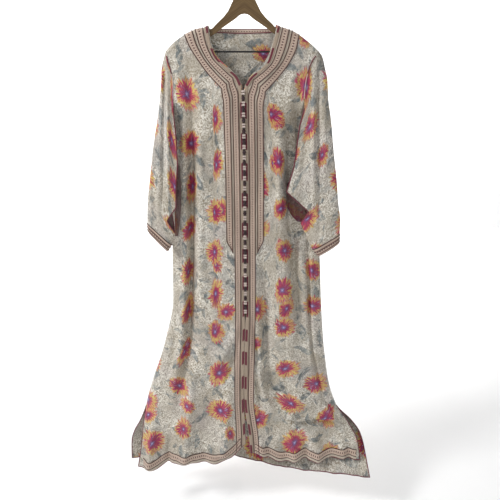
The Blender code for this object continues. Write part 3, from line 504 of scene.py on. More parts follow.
def back_place(side, out, drop):
    out, drop = np.broadcast_arrays(np.asarray(out, float), np.asarray(drop, float))
    reach = read(BACK_FLARE, "drop", side, drop)
    at_side = ease_in(1 - np.abs(out) / reach, 0.0, 0.08)
    away = ease_in(drop, 0.08, 0.20)
    wave = waves(WAVES, SIGN[side] * out * 1.3 - 0.3 * drop)
    y = back_y(side, out, drop) + wave * at_side * away * 1.6
    return spot(side, out, y, drop)


def back_points(x, drop):
    """Points on the outside of the back, from distances to the wearer's left and drops."""
    out = np.abs(x)
    return np.where(
        (x < 0)[..., None], back_place("right", out, drop), back_place("left", out, drop)
    )


def front_hem(side, out):
    ripple = waves(HEM_RIPPLE, out) * ease_in(out, 0.03, 0.09)
    return read(FRONT_HEM[side], "out", "drop", out) + ripple


# ---------------------------------------------------------------- grids of cloth
FRONT_COLUMNS, FRONT_ROWS = 84, 230
BACK_COLUMNS, BACK_ROWS = 150, 190
SLEEVE_HALF_COLUMNS, SLEEVE_ROWS = 30, 110
# shares of the way down, under the shoulder
ROLL_ROWS = (0.0, 0.0006, 0.0014, 0.0026, 0.0042, 0.0065, 0.0095)


def top_of_front(side, out):
    neck = FRONT_NECK[side]
    return np.where(out < neck[-1].out, read(neck, "out", "drop", out), shoulder_drop(side, out))


def shares_down(rows):
    return np.concatenate([ROLL_ROWS, np.linspace(0.013, 1.0, rows - len(ROLL_ROWS))])


def cloth_lengths(points, middle):
    """Distances over the cloth along each row, from the middle column."""
    steps = np.linalg.norm(np.diff(points, axis=1), axis=2)
    across = np.concatenate([np.zeros((len(points), 1)), np.cumsum(steps, axis=1)], axis=1)
    return across - across[:, middle : middle + 1]


def front_sheet(side):
    """Points and pattern places of a front, from the neck and shoulder to the hem."""
    first, widest = 0.003, getattr(BODY_WIDTH[0], side)
    neck_end = (FRONT_NECK[side][-1].out - first) / (widest - first)
    shares = np.linspace(0, 1, FRONT_COLUMNS)
    near_neck = neck_end + np.array([-0.045, -0.030, -0.015, -0.006, -0.0005, 0.001])
    shares = np.unique(np.concatenate([shares, near_neck]))
    top = top_of_front(
        side, opening_out(side, first + shares * (widest - first), FRONT_OPENING[0].drop)
    )
    low_reach = getattr(FRONT_FLARE[-1], side)
    hem = front_hem(
        side, opening_out(side, first + shares * (low_reach - first), FRONT_HEM[side][3].drop)
    )
    down = shares_down(FRONT_ROWS)[:, None]
    drop = top + down * (hem - top)
    reach = read(FRONT_FLARE, "drop", side, drop)
    out = opening_out(side, first + shares * (reach - first), drop)
    edge = np.clip((out / reach - 0.9) / 0.1, 0, 1)
    out = out * (1 - edge) + (shares * reach) * edge
    points = front_place(side, out, drop)
    lengths = cloth_lengths(points, 0)
    return points, np.stack([SIGN[side] * lengths, -drop], axis=-1)


def back_sheet():
    shares = np.linspace(-1, 1, BACK_COLUMNS)
    rows = []
    down = shares_down(BACK_ROWS)[:, None]
    for side, mine in (("right", shares[shares < 0]), ("left", shares[shares >= 0])):
        widest = getattr(BODY_WIDTH[0], side)
        top_out = np.abs(mine) * widest
        top = np.where(
            top_out < FRONT_NECK[side][-1].out, BACK_NECK_DROP, shoulder_drop(side, top_out)
        )
        drop = top + down * (FLOOR_DROP - top)
        out = np.abs(mine) * read(BACK_FLARE, "drop", side, drop)
        rows.append((back_place(side, out, drop), drop))
    points = np.concatenate([rows[0][0], rows[1][0]], axis=1)
    drop = np.concatenate([rows[0][1], rows[1][1]], axis=1)
    lengths = cloth_lengths(points, BACK_COLUMNS // 2)
    return points, np.stack([lengths, -drop], axis=-1)


ARMHOLE_SHARES = (0.0, 0.04, 0.12, 0.33, 0.62, 1.0)
ARMHOLE_DROPS = [TIP_DROP + share * (MITRE_DROP - TIP_DROP) for share in ARMHOLE_SHARES]
ARMHOLE_DROPS.append(ARMPIT_DROP)
SLEEVE_ACROSS = (0.0, 0.10, 0.24, 0.45, 0.66, 0.84, 1.0)
CLOSING = 0.07  # share of the sleeve over which its two layers come together


def sleeve_layer(side, across, share, front):
    """Points of a sleeve's front or back layer: across from the outer fold, and share of the way
    to the cuff."""
    armhole = np.interp(across, SLEEVE_ACROSS, ARMHOLE_DROPS)
    cuff = CUFF[side].outer_drop + across * (CUFF[side].inner_drop - CUFF[side].outer_drop)
    drop = armhole + share * (cuff - armhole)
    outer = read(SLEEVE_OUTER, "drop", side, drop)
    shares = column(SLEEVE_EDGES[side], "share")
    edge = "front_edge" if front else "back_edge"
    hung_edge = np.interp(share, shares, column(SLEEVE_EDGES[side], edge))
    seam = read(BODY_WIDTH, "drop", side, armhole) + GAP
    start = 1 - ease_in(share, 0.0, 0.16)
    inner = seam * start + hung_edge * (1 - start)
    width = np.where(across > 0, across + (1 - across) * start, 0.0)
    out = outer + (inner - outer) * width
    hung = 1 - ease_in(share, 0.0, 0.08)
    at_seam = read(BODY_DEPTH, "drop", "armhole", armhole) * roll(side, seam - GAP, armhole)
    half = read(SLEEVE_HANG, "drop", "half", drop) * (1 - hung) + at_seam * hung
    crown = np.sqrt(1 - (1 - width) ** 3)
    closed = ease_in(share, SLEEVE_CLOSED_FROM[side] - CLOSING, SLEEVE_CLOSED_FROM[side])
    crown = crown * (1 - closed + closed * np.sqrt(1 - np.clip(width, 0, 1) ** 4))
    y = read(SLEEVE_HANG, "drop", "middle", drop) + (-half if front else half) * crown
    if front:
        away = ease_in(share, 0.0, 0.10) * ease_in(width, 0.0, 0.25)
        away = away * (1 - closed * ease_in(width, 0.8, 1.0))
        finer = crease_depth(SLEEVE_CREASES[side], out, drop) + waves(WAVES, out + 0.4 * drop)
        y = y + finer * away
    return spot(side, out, y, drop)


def sleeve_sheet(side):
    """Points from the front's inner edge round the outer fold to the back's inner edge, by rows
    to the cuff."""
    across = np.linspace(0, 1, SLEEVE_HALF_COLUMNS) ** 1.25
    share = np.linspace(0, 1, SLEEVE_ROWS)[:, None]
    front = sleeve_layer(side, across[None, ::-1], share, True)
    back = sleeve_layer(side, across[None, 1:], share, False)
    points = np.concatenate([front, back], axis=1)
    lengths = cloth_lengths(points, SLEEVE_HALF_COLUMNS - 1)
    length_down = CUFF[side].outer_drop - TIP_DROP
    pattern = np.stack([lengths, -np.broadcast_to(share * length_down, lengths.shape)], axis=-1)
    return points, pattern


# ---------------------------------------------------------------- meshes
def away_from_body(points, outward):
    """Unit normals of a grid of points, on the outward side."""
    normals = unit(np.cross(np.gradient(points, axis=1), np.gradient(points, axis=0)))
    return normals if np.sum(normals * np.asarray(outward)) > 0 else -normals


def grid_part(points, pattern, outward, joined_from=None):
    """Faces of a grid that look outward, each corner with its place in the pattern. From row
    joined_from the last column is the first one."""
    rows, columns = points.shape[:2]
    normals = np.cross(np.gradient(points, axis=1), np.gradient(points, axis=0))
    turned = np.sum(normals * np.asarray(outward)) < 0
    faces, places = [], []
    for row in range(rows - 1):
        for col in range(columns - 1):
            corners = [(row, col), (row, col + 1), (row + 1, col + 1), (row + 1, col)]
            if turned:
                corners.reverse()
            places += [pattern[corner] for corner in corners]
            if joined_from is not None:
                corners = [
                    (r, 0 if c == columns - 1 and r >= joined_from else c) for r, c in corners
                ]
            faces.append([r * columns + c for r, c in corners])
    return points.reshape(-1, 3), faces, places


def tube_part(line, radius, sides=6, closed=False):
    """A round cord along a line of points; its pattern goes once round and in metres along."""
    line = np.asarray(line, float)
    if closed:
        line = np.concatenate([line, line[:1]])
    along = np.gradient(line, axis=0)
    if closed:
        along[0] = along[-1] = line[1] - line[-2]
    along = unit(along)
    first = np.cross(along[0], (0.0, 0.3, 1.0) if abs(along[0][2]) < 0.9 else (0.0, 1.0, 0.2))
    far = np.concatenate([[0.0], np.cumsum(np.linalg.norm(np.diff(line, axis=0), axis=1))])
    rings, side = [], first / np.linalg.norm(first)
    turn = np.linspace(0, 2 * math.pi, sides, endpoint=False)
    for point, way in zip(line, along):
        side = side - way * (side @ way)
        side /= np.linalg.norm(side)
        other = np.cross(way, side)
        rings.append(
            point + radius * (np.outer(np.cos(turn), side) + np.outer(np.sin(turn), other))
        )
    if closed:
        rings.pop()
    count = len(rings)
    faces, places = [], []
    for ring in range(count if closed else count - 1):
        after = (ring + 1) % count
        for n in range(sides):
            m = (n + 1) % sides
            faces.append([ring * sides + n, ring * sides + m, after * sides + m, after * sides + n])
            v0, v1 = far[ring], far[ring + 1]
            places += [
                (n / sides, v0), ((n + 1) / sides, v0), ((n + 1) / sides, v1), (n / sides, v1)
            ]
    if not closed:
        faces.append(list(range(sides))[::-1])
        faces.append(list(range((count - 1) * sides, count * sides)))
        places += [(0.5, 0.0)] * sides + [(0.5, far[-1])] * sides
    return np.concatenate(rings), faces, places


def piece(name, parts, finishes, stands_for=()):
    """One object from parts, each with its own finish, riding on the frame and standing for the
    nodes named."""
    points, faces, places, finish_numbers, start = [], [], [], [], 0
    for number, (part_points, part_faces, part_places) in enumerate(parts):
        points.append(part_points)
        faces += [[n + start for n in face] for face in part_faces]
        places += [tuple(place) for place in part_places]
        finish_numbers += [number % len(finishes)] * len(part_faces)
        start += len(part_points)
    points = np.concatenate(points)
    used = np.unique(np.concatenate([np.asarray(face) for face in faces]))
    number_now = np.zeros(len(points), int)
    number_now[used] = np.arange(len(used))
    mesh = bpy.data.meshes.new(name)
    mesh.from_pydata(points[used].tolist(), [], [number_now[face].tolist() for face in faces])
    uv = mesh.uv_layers.new(name="pattern")
    uv.data.foreach_set("uv", np.asarray(places, np.float32).ravel())
    for finish in finishes:
        mesh.materials.append(finish)
    mesh.polygons.foreach_set("material_index", finish_numbers)
    mesh.polygons.foreach_set("use_smooth", [True] * len(faces))
    mesh.validate()
    made = bpy.data.objects.new(name, mesh)
    bpy.context.scene.collection.objects.link(made)
    return ready(made, stands_for)


def ready(made, stands_for=()):
    """Puts a finished object on the frame."""
    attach(made, "root")
    if stands_for:
        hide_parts(*stands_for)
    return made


def only(made):
    """Selects this object alone."""
    bpy.ops.object.select_all(action="DESELECT")
    made.select_set(True)
    bpy.context.view_layer.objects.active = made


def thicken(made, thickness, inside_finish=0):
    """Gives a sheet its wall, on its inner side."""
    only(made)
    wall = made.modifiers.new("wall", "SOLIDIFY")
    wall.thickness = thickness
    wall.offset = -1
    wall.use_rim = True
    wall.material_offset = inside_finish
    bpy.ops.object.modifier_apply(modifier="wall")
    return made


# ---------------------------------------------------------------- finishes
def paint(red, green, blue):
    """A colour from its everyday 0 to 255 values."""
    values = [v / 255 for v in (red, green, blue)]
    return (*[v / 12.92 if v <= 0.04045 else ((v + 0.055) / 1.055) ** 2.4 for v in values], 1.0)


class Amount:
    """A number, place or colour that changes over a surface. A sum on it adds the maths node for
    it."""

    def __init__(self, socket):
        self.socket = socket

    def __add__(self, other):
        return maths("ADD", self, other)

    def __sub__(self, other):
        return maths("SUBTRACT", self, other)

    def __rsub__(self, other):
        return maths("SUBTRACT", other, self)

    def __mul__(self, other):
        return maths("MULTIPLY", self, other)

    def __truediv__(self, other):
        return maths("DIVIDE", self, other)

    def __abs__(self):
        return maths("ABSOLUTE", self)


def give(socket, value):
    """Sets an input to a value, or joins it to an amount."""
    if isinstance(value, Amount):
        socket.id_data.links.new(value.socket, socket)
    else:
        socket.default_value = value


def add_node(kind, inputs, tree=None, **settings):
    """Adds a node to the tree of its first amount; each input is given a value or is joined to
    an amount."""
    tree = tree or next(
        value.socket.id_data for value in inputs.values() if isinstance(value, Amount)
    )
    made = tree.nodes.new(kind)
    for name, value in settings.items():
        setattr(made, name, value)
    for name, value in inputs.items():
        give(made.inputs[name], value)
    return made


def maths(operation, *values, clamp=False):
    made = add_node("ShaderNodeMath", dict(enumerate(values)), operation=operation, use_clamp=clamp)
    return Amount(made.outputs[0])


def combine(x, y, z=0.0):
    return Amount(add_node("ShaderNodeCombineXYZ", {0: x, 1: y, 2: z}).outputs[0])


def split(vector):
    return [Amount(part) for part in add_node("ShaderNodeSeparateXYZ", {0: vector}).outputs]


def step(value, low, high, to_low=0.0, to_high=1.0):
    """Rises smoothly from to_low to to_high as the value goes from low to high."""
    inputs = {
        "Value": value, "From Min": low, "From Max": high, "To Min": to_low, "To Max": to_high
    }
    return Amount(
        add_node("ShaderNodeMapRange", inputs, interpolation_type="SMOOTHSTEP").outputs[0]
    )


def stain(position, scale, detail=2.0, distortion=0.0):
    inputs = {"Vector": position, "Scale": scale, "Detail": detail, "Distortion": distortion}
    return Amount(add_node("ShaderNodeTexNoise", inputs).outputs["Fac"])


def mix(factor, a, b, blend_type="MIX"):
    amounts = [value for value in (factor, a, b) if isinstance(value, Amount)]
    tree = amounts[0].socket.id_data
    made = add_node("ShaderNodeMix", {}, tree, data_type="RGBA", blend_type=blend_type)
    for place, value in ((0, factor), (6, a), (7, b)):
        give(made.inputs[place], value)
    return Amount(made.outputs[2])


def ramp(factor, *stops):
    """A colour that changes with the factor; each stop is its place and its colour's red, green
    and blue."""
    made = add_node("ShaderNodeValToRGB", {"Fac": factor})
    elements = made.color_ramp.elements
    while len(elements) < len(stops):
        elements.new(0.5)
    for element, (place, *_) in zip(elements, stops):
        element.position = place
    for element, (_, *colour) in zip(elements, stops):
        element.color = paint(*colour)
    return Amount(made.outputs["Color"])


def group(name, inputs, outputs):
    """A shared effect, with named inputs and outputs."""
    tree = bpy.data.node_groups.new(name, "ShaderNodeTree")
    for label, (kind, value) in inputs.items():
        socket = tree.interface.new_socket(label, in_out="INPUT", socket_type=kind)
        if value is not None:
            socket.default_value = value
    for label, kind in outputs.items():
        tree.interface.new_socket(label, in_out="OUTPUT", socket_type=kind)
    given = {
        socket.name: Amount(socket)
        for socket in tree.nodes.new("NodeGroupInput").outputs if socket.name
    }
    return tree, given, tree.nodes.new("NodeGroupOutput").inputs


def use(shared, **inputs):
    """Places a shared effect, and gives its outputs by name."""
    made = add_node("ShaderNodeGroup", {}, inputs["Position"].socket.id_data)
    made.node_tree = shared
    for label, value in inputs.items():
        give(made.inputs[label], value)
    return {socket.name: Amount(socket) for socket in made.outputs}


FLOAT, VECTOR, COLOUR = "NodeSocketFloat", "NodeSocketVector", "NodeSocketColor"


def chances(*cell):
    """Three chances from 0 to 1 for a cell of a repeat."""
    noise = add_node("ShaderNodeTexWhiteNoise", {"Vector": combine(*cell)}, noise_dimensions="3D")
    return split(Amount(noise.outputs["Color"]))


def motif_place(given):
    """The part that blooms and leaves share: a half-drop repeat with a chance place, turn and
    size for each.
    Gives the place within the motif, in metres, and three more chances."""
    spacing = given["Spacing"]
    x, y, _ = split(given["Position"])
    x = x / spacing
    column_number = maths("FLOOR", x)
    y = column_number * 0.5 + y / spacing
    row_number = maths("FLOOR", y)
    chance_x, chance_y, chance_turn = chances(column_number, row_number, given["Seed"])
    room = given["Size"] * -2.1 + spacing
    away = []
    for place, number, chance in ((x, column_number, chance_x), (y, row_number, chance_y)):
        within = place - number - 0.5
        shift = (chance - 0.5) * room
        away.append(within * spacing - shift)
    turn = chance_turn * (2 * math.pi)
    flat = combine(away[0], away[1])
    turned = add_node(
        "ShaderNodeVectorRotate", {"Vector": flat, "Angle": turn}, rotation_type="Z_AXIS"
    )
    return split(Amount(turned.outputs[0]))[:2], chances(row_number, given["Seed"], column_number)


MOTIF_INPUTS = {
    "Position": (VECTOR, None),
    "Spacing": (FLOAT, 0.13),
    "Size": (FLOAT, 0.04),
    "Seed": (FLOAT, 0.0),
    "Share": (FLOAT, 0.8),
}


def make_bloom_group():
    """A printed bloom of many ragged petals: white and violet in the middle, then magenta,
    orange and yellow."""
    tree, given, result = group("printed bloom", MOTIF_INPUTS, {"Colour": COLOUR, "Cover": FLOAT})
    (x, y), (chance_wide, chance_size, chance_shown) = motif_place(given)
    y = y * (chance_wide * 0.55 + 1.0)
    size = given["Size"] * (chance_size * 0.25 + 0.8)
    far = maths("SQRT", x * x + y * y) / size
    round_it = maths("ARCTAN2", y, x)
    cosine, sine = maths("COSINE", round_it), maths("SINE", round_it)
    outward = far * 0.55 + chance_shown * 40.0
    petals = combine(cosine * 5.2, sine * 5.2, outward)
    streak = stain(petals, 1.0, 2.0) - 0.5
    short = outward * 4.0
    fine = combine(cosine * 13.0, sine * 13.0, short)
    dash = stain(fine, 1.0, 1.0) - 0.5
    ragged = streak * step(far, 0.1, 0.7)
    edge = far + ragged * 0.85
    shown = maths("LESS_THAN", chance_shown, given["Share"])
    cover = step(edge, 0.98, 0.76) * shown
    lean = cosine * step(far, 0.2, 0.6, 0.0, 0.2)
    shade = far + lean + ragged * 0.9
    flecks = dash * step(far, 0.02, 0.6, 0.3, 1.7)
    shade = maths("ADD", shade, flecks, clamp=True)
    colour = ramp(
        shade,
        (0.0, 222, 222, 240),
        (0.07, 134, 116, 188),
        (0.15, 112, 36, 104),
        (0.27, 164, 24, 80),
        (0.45, 198, 30, 88),
        (0.57, 204, 40, 92),
        (0.61, 210, 112, 74),
        (0.66, 226, 200, 98),
        (0.92, 230, 204, 122),
        (1.0, 204, 62, 106),
    )
    give(result["Colour"], colour)
    give(result["Cover"], cover)
    return tree


def make_leaf_group():
    """A printed leaf: a grey-blue oval with a darker half and pale veins."""
    tree, given, result = group("printed leaf", MOTIF_INPUTS, {"Colour": COLOUR, "Cover": FLOAT})
    (x, y), (chance_wide, chance_tone, chance_shown) = motif_place(given)
    along = x / given["Size"]
    inside = maths("SUBTRACT", 1.0, along * along, clamp=True)
    broad = given["Size"] * (chance_wide * 0.22 + 0.26)
    bend = along * along * (given["Size"] * 0.22)
    y = y + bend
    ragged = stain(given["Position"], 150.0) * 0.5 + 0.75
    half = inside * broad * ragged + 1e-05
    across = abs(y) / half
    vein_place = along * 5.0 + across * 1.3
    vein = step(maths("SINE", vein_place * (2 * math.pi)), 0.55, 0.95)
    dark_half = maths("GREATER_THAN", y, 0.0)
    tone = chance_tone * 0.5 + dark_half * 0.28
    tone = tone + stain(given["Position"], 60.0) * 0.4
    tone = maths("SUBTRACT", tone, vein * 0.25, clamp=True)
    colour = ramp(
        tone,
        (0.0, 158, 162, 156),
        (0.35, 124, 134, 136),
        (0.65, 98, 110, 116),
        (0.85, 84, 94, 92),
        (1.0, 60, 70, 82),
    )
    shown = maths("LESS_THAN", chance_shown, given["Share"])
    broken = step(stain(given["Position"], 75.0, 2.0), 0.34, 0.58, 0.3, 1.0)
    cover = step(across, 1.0, 0.72) * broken * shown
    give(result["Colour"], colour)
    give(result["Cover"], cover)
    return tree


def make_jacquard_group():
    """The figure woven into the satin: short wandering floats that shine on a duller ground."""
    inputs = {"Position": (VECTOR, None)}
    tree, given, result = group("jacquard figure", inputs, {"Figure": FLOAT, "Weave": FLOAT})
    place = given["Position"]
    wander = stain(place, 92.0, 1.0, 1.8)
    lines = step(abs(wander - 0.5), 0.08, 0.035)
    specks = step(stain(place, 190.0, 1.0), 0.54, 0.6)
    patches = step(stain(place, 9.0, 2.0), 0.36, 0.58, 0.5, 1.0)
    figure = maths("MAXIMUM", lines, specks * 0.6) * patches
    x, y, _ = split(place)
    threads = maths("SINE", (x + y * 3.0) * 5200.0)
    give(result["Figure"], figure)
    give(result["Weave"], threads)
    return tree


def make_cord_group():
    """Silk strands twisted round a cord: the pattern goes once round and in metres along."""
    inputs = {"Position": (VECTOR, None), "Lay": (FLOAT, 0.004), "Strands": (FLOAT, 2.0)}
    tree, given, result = group("twisted strands", inputs, {"Strand": FLOAT})
    around, along, _ = split(given["Position"])
    twist = around * given["Strands"] + along / given["Lay"]
    strand = abs(maths("SINE", twist * math.pi))
    give(result["Strand"], strand)
    return tree


BLOOM, LEAF = make_bloom_group(), make_leaf_group()
JACQUARD, STRANDS = make_jacquard_group(), make_cord_group()


def finish_of(name, roughness, sheen=0.0, metallic=0.0, place_in="UV"):
    """A new finish, with its shader and the place of each point: in the piece's own pattern, or
    in space."""
    made = bpy.data.materials.new(name)
    made.use_nodes = True
    shader = made.node_tree.nodes["Principled BSDF"]
    shader.inputs["Roughness"].default_value = roughness
    shader.inputs["Metallic"].default_value = metallic
    shader.inputs["Sheen Weight"].default_value = sheen
    place = add_node("ShaderNodeTexCoord", {}, made.node_tree).outputs[place_in]
    return made, shader.inputs, Amount(place)


def relief(shader, height, depth):
    bump = add_node("ShaderNodeBump", {"Height": height, "Distance": depth, "Strength": 1.0})
    give(shader["Normal"], Amount(bump.outputs[0]))


# Layers of the print, each with its spacing, size, seed and share of places; leaves also have
# their strength.
LEAVES = (
    (0.062, 0.021, 3.0, 0.62, 0.60),
    (0.081, 0.031, 11.0, 0.66, 0.80),
    (0.047, 0.014, 23.0, 0.55, 0.70),
)
BLOOMS = ((0.150, 0.040, 41.0, 0.30), (0.136, 0.056, 5.0, 0.86))
BLOOM_STRENGTH = 0.93


def make_satin(name, shift, painted_shade=0.0):
    """Ivory jacquard satin with its printed blooms and leaves, its woven figure painted near-white
    and the colour lighter on it as painted sheen; if given, a painted shade darkens it towards
    maroon.
    Each piece is cut from another place of the cloth."""
    made, shader, place = finish_of(name, 0.42, sheen=0.06)
    mapping = add_node("ShaderNodeMapping", {"Vector": place, "Location": (*shift, 0.0)})
    place = Amount(mapping.outputs[0])
    woven = use(JACQUARD, Position=place)
    figure = woven["Figure"]
    hue = stain(place, 6.0, 3.0)
    ground = ramp(hue, (0.3, 176, 162, 138), (0.5, 190, 178, 158), (0.7, 192, 180, 172))
    # painted sheen: the woven figure's floats are painted near-white, where they would shine
    ground = mix(figure * 0.9, ground, paint(244, 240, 230))
    wash = step(stain(place, 15.0, 3.0, 0.6), 0.52, 0.68, 0.0, 0.34)
    colour = mix(wash, ground, paint(132, 138, 140))
    for spacing, size, seed, share, strength in LEAVES:
        leaf = use(LEAF, Position=place, Spacing=spacing, Size=size, Seed=seed, Share=share)
        colour = mix(leaf["Cover"] * strength, colour, leaf["Colour"])
    for spacing, size, seed, share in BLOOMS:
        bloom = use(BLOOM, Position=place, Spacing=spacing, Size=size, Seed=seed, Share=share)
        colour = mix(bloom["Cover"] * BLOOM_STRENGTH, colour, bloom["Colour"])
    # painted sheen: the colour, print and all, is painted lighter on the figure and darker off it
    light = figure * 0.3 + 0.77
    colour = mix(1.0, colour, combine(light, light, light), "MULTIPLY")
    # painted shade: the satin is darkened most of the way to maroon, for cloth that lies in shade
    if painted_shade:
        colour = mix(painted_shade, colour, paint(92, 42, 46))
    give(shader["Base Color"], colour)
    give(shader["Roughness"], figure * -0.26 + 0.48)
    height = woven["Weave"] * 0.08 + figure
    relief(shader, height, 0.00025)
    return made


def make_band(name):
    """Woven trim: a pale pinkish ribbon with a row of dots down its middle. Its pattern is 0 to
    1 across."""
    made, shader, place = finish_of(name, 0.6, sheen=0.2)
    across, along, _ = split(place)
    from_middle = abs(across - 0.5)
    tall = maths("FRACT", along / 0.0074) - 0.5
    wide = maths("POWER", from_middle * 7.5, 2.0)
    far = maths("SQRT", wide + maths("POWER", tall * 3.4, 2.0))
    dot = step(far, 1.15, 0.9)
    rib = maths("SINE", along * 5600.0)
    wear = stain(combine(across * 0.017, along), 130.0, 2.0)
    ground = ramp(wear, (0.3, 206, 184, 166), (0.7, 222, 202, 184))
    line = abs(from_middle - 0.21)
    ground = mix(step(line, 0.07, 0.03, 0.0, 0.55), ground, paint(164, 128, 112))
    colour = mix(dot * 0.92, ground, paint(84, 36, 38))
    give(shader["Base Color"], colour)
    height = rib * 0.2 - dot
    relief(shader, height, 0.0003)
    return made


def make_braid(name, shift):
    """Knitted edge braid that changes colour along its length, each colour painted darker in the
    stitch hollows as painted shade. Its pattern is 0 to 1 across.
    """
    made, shader, place = finish_of(name, 0.65, sheen=0.2)
    across, along, _ = split(place)
    drift = stain(combine(0.0, along), 9.0, 1.0) * 0.03
    beat = maths("FRACT", (along + shift + drift) / 0.088)
    maroon = step(abs(beat - 0.5), 0.27, 0.25)
    chevron = along / 0.0026 + abs(across - 0.5)
    stitch = abs(maths("SINE", chevron * math.pi))
    on_line = step(abs(across - 0.36), 0.33, 0.28)
    maroon = maroon * on_line
    # painted shade: each colour is darker in the stitch hollows and lighter on the stitch tops,
    # following the relief
    beige = mix(stitch, paint(146, 126, 108), paint(192, 174, 154))
    red = mix(stitch, paint(72, 16, 32), paint(122, 38, 56))
    give(shader["Base Color"], mix(maroon, beige, red))
    relief(shader, stitch, 0.0005)
    return made


def make_ribbon(name):
    """Plain pale tape with fine ribs across it."""
    made, shader, place = finish_of(name, 0.5, sheen=0.15)
    across, along, _ = split(place)
    rib = maths("SINE", along * 6800.0)
    tone = stain(combine(across * 0.05, along), 90.0, 2.0)
    colour = ramp(tone, (0.3, 192, 178, 160), (0.7, 214, 202, 184))
    give(shader["Base Color"], colour)
    relief(shader, rib, 0.0001)
    return made


def make_silk(name, dark, light, lay=0.0042):
    """Twisted silk cord of one colour in two tones: painted shade between the strands and a painted
    highlight on their crowns.
    """
    made, shader, place = finish_of(name, 0.45, sheen=0.2)
    strand = use(STRANDS, Position=place, Lay=lay)["Strand"]
    # painted highlight on each strand's crown and painted shade between strands, its strength
    # varied at random
    uneven_highlight = stain(place, 30.0, 2.0)
    tone = strand * step(uneven_highlight, 0.3, 0.7, 0.6, 1.0)
    give(shader["Base Color"], mix(tone, dark, light))
    relief(shader, strand, 0.0003)
    return made


def make_wood():
    """Light lacquered wood of thin layers, whose lines follow the arms."""
    made, shader, place = finish_of("lacquered wood", 0.35, place_in="Object")
    give(shader["Coat Weight"], 0.25)
    x, y, z = split(place)
    arm = abs(x)
    up_arm = arm * 0.62 + z
    grain_place = combine(arm * 14.0, y * 60.0, up_arm * 420.0)
    grain = stain(grain_place, 1.0, 4.0, 0.4)
    layers = abs(maths("SINE", up_arm * 620.0))
    seam = step(layers, 0.16, 0.04)
    colour = ramp(grain, (0.25, 84, 62, 34), (0.5, 108, 84, 50), (0.8, 130, 104, 66))
    colour = mix(seam * 0.35, colour, paint(66, 46, 26))
    give(shader["Base Color"], colour)
    give(shader["Roughness"], grain * 0.2 + 0.28)
    relief(shader, grain, 0.0002)
    return made


def make_metal(name, colour, brighter, roughness, metallic):
    """A coated or bare metal with faint rubbing marks."""
    made, shader, place = finish_of(name, roughness, metallic=metallic, place_in="Object")
    rubbed = stain(place, 260.0, 3.0)
    give(shader["Base Color"], mix(step(rubbed, 0.45, 0.75), colour, brighter))
    give(shader["Roughness"], rubbed * 0.25 + (roughness - 0.1))
    relief(shader, rubbed, 5e-05)
    return made


SATIN_BACK = make_satin("satin, back", (3.17, 1.42))
SATIN_FRONT = {
    "right": make_satin("satin, right front", (0.31, 0.52)),
    "left": make_satin("satin, left front", (1.26, 2.34)),
}
SATIN_SLEEVE = {
    "right": make_satin("satin, right sleeve", (5.08, 0.77)),
    "left": make_satin("satin, left sleeve", (6.43, 3.21)),
}
# The sleeves' inner faces: satin darkened towards maroon as painted shade.
SLEEVE_INSIDE_SHADE = make_satin("satin, inside of the sleeves, in painted shade", (7.3, 4.1), painted_shade=0.80)
BAND = make_band("woven trim")
BRAID = make_braid("edge braid", 0.030)
RIBBON = make_ribbon("plain tape")
# Each cord: its tone in the painted shade between strands, then its painted highlight tone.
BROWN_CORD = make_silk("dark brown cord", paint(56, 26, 24), paint(100, 58, 50))
MAROON_CORD = make_silk("maroon cord", paint(70, 14, 30), paint(140, 46, 66))
PALE_CORD = make_silk("pale cord", paint(206, 182, 170), paint(250, 238, 230), lay=0.003)
# Near-black button silk: the buttons' colour also paints the shade of the gaps in the opening.
BUTTON_SILK_AND_GAP_SHADE = make_silk("dark button silk", paint(20, 8, 12), paint(66, 22, 34), lay=0.003)
WOOD = make_wood()
COATED = make_metal("black coated bar", paint(20, 20, 21), paint(40, 40, 42), 0.42, 0.0)
STEEL = make_metal("steel wire", paint(168, 168, 166), paint(205, 205, 203), 0.28, 1.0)
for node_name, wanted in (("hanger_wood", WOOD), ("hanger_bar", COATED), ("hanger_hook", STEEL)):
    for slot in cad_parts[node_name].material_slots:
        slot.material = wanted


# ---------------------------------------------------------------- cloth
FABRIC = 0.0009  # wall of the cloth
EDGE_PIPING = 0.0017


def make_cloth(name, points, pattern, outward, finishes, stands_for, joined_from=None):
    """A panel or sleeve, thickened on its inner side."""
    part = grid_part(points, pattern, outward, joined_from)
    made = piece(name, [part], finishes, stands_for)
    thicken(made, FABRIC, len(finishes) - 1)


FRONTS = {side: front_sheet(side) for side in SIGN}
BACK = back_sheet()
SLEEVES = {side: sleeve_sheet(side) for side in SIGN}
FORWARD, BACKWARD = (0.0, -1.0, 0.0), (0.0, 1.0, 0.0)

make_cloth("back_cloth", *BACK, BACKWARD, [SATIN_BACK], ["back_panel"])
for worn_side in SIGN:
    finish, node = [SATIN_FRONT[worn_side]], [f"front_panel_{worn_side}"]
    make_cloth(f"front_cloth_{worn_side}", *FRONTS[worn_side], FORWARD, finish, node)


def sleeve_facing(points):
    """The front layer's columns face forward and the back layer's face back."""
    facing = np.zeros(points.shape)
    facing[:, : SLEEVE_HALF_COLUMNS - 1, 1] = -1.0
    facing[:, SLEEVE_HALF_COLUMNS:, 1] = 1.0
    return facing


def closed_row(side):
    """The row from which a sleeve's two layers are joined, down to the cuff."""
    return int(math.ceil(SLEEVE_CLOSED_FROM[side] * (SLEEVE_ROWS - 1)))


def make_sleeve(side):
    points, pattern = SLEEVES[side]
    facing, joined = sleeve_facing(points), closed_row(side)
    # the inner faces take the satin darkened as painted shade
    finish = [SATIN_SLEEVE[side], SLEEVE_INSIDE_SHADE]
    make_cloth(f"sleeve_cloth_{side}", points, pattern, facing, finish, [f"sleeve_{side}"], joined)


for worn_side in SIGN:
    make_sleeve(worn_side)


# ---------------------------------------------------------------- lines for the trim
TrimLine = namedtuple("TrimLine", "share column turns")
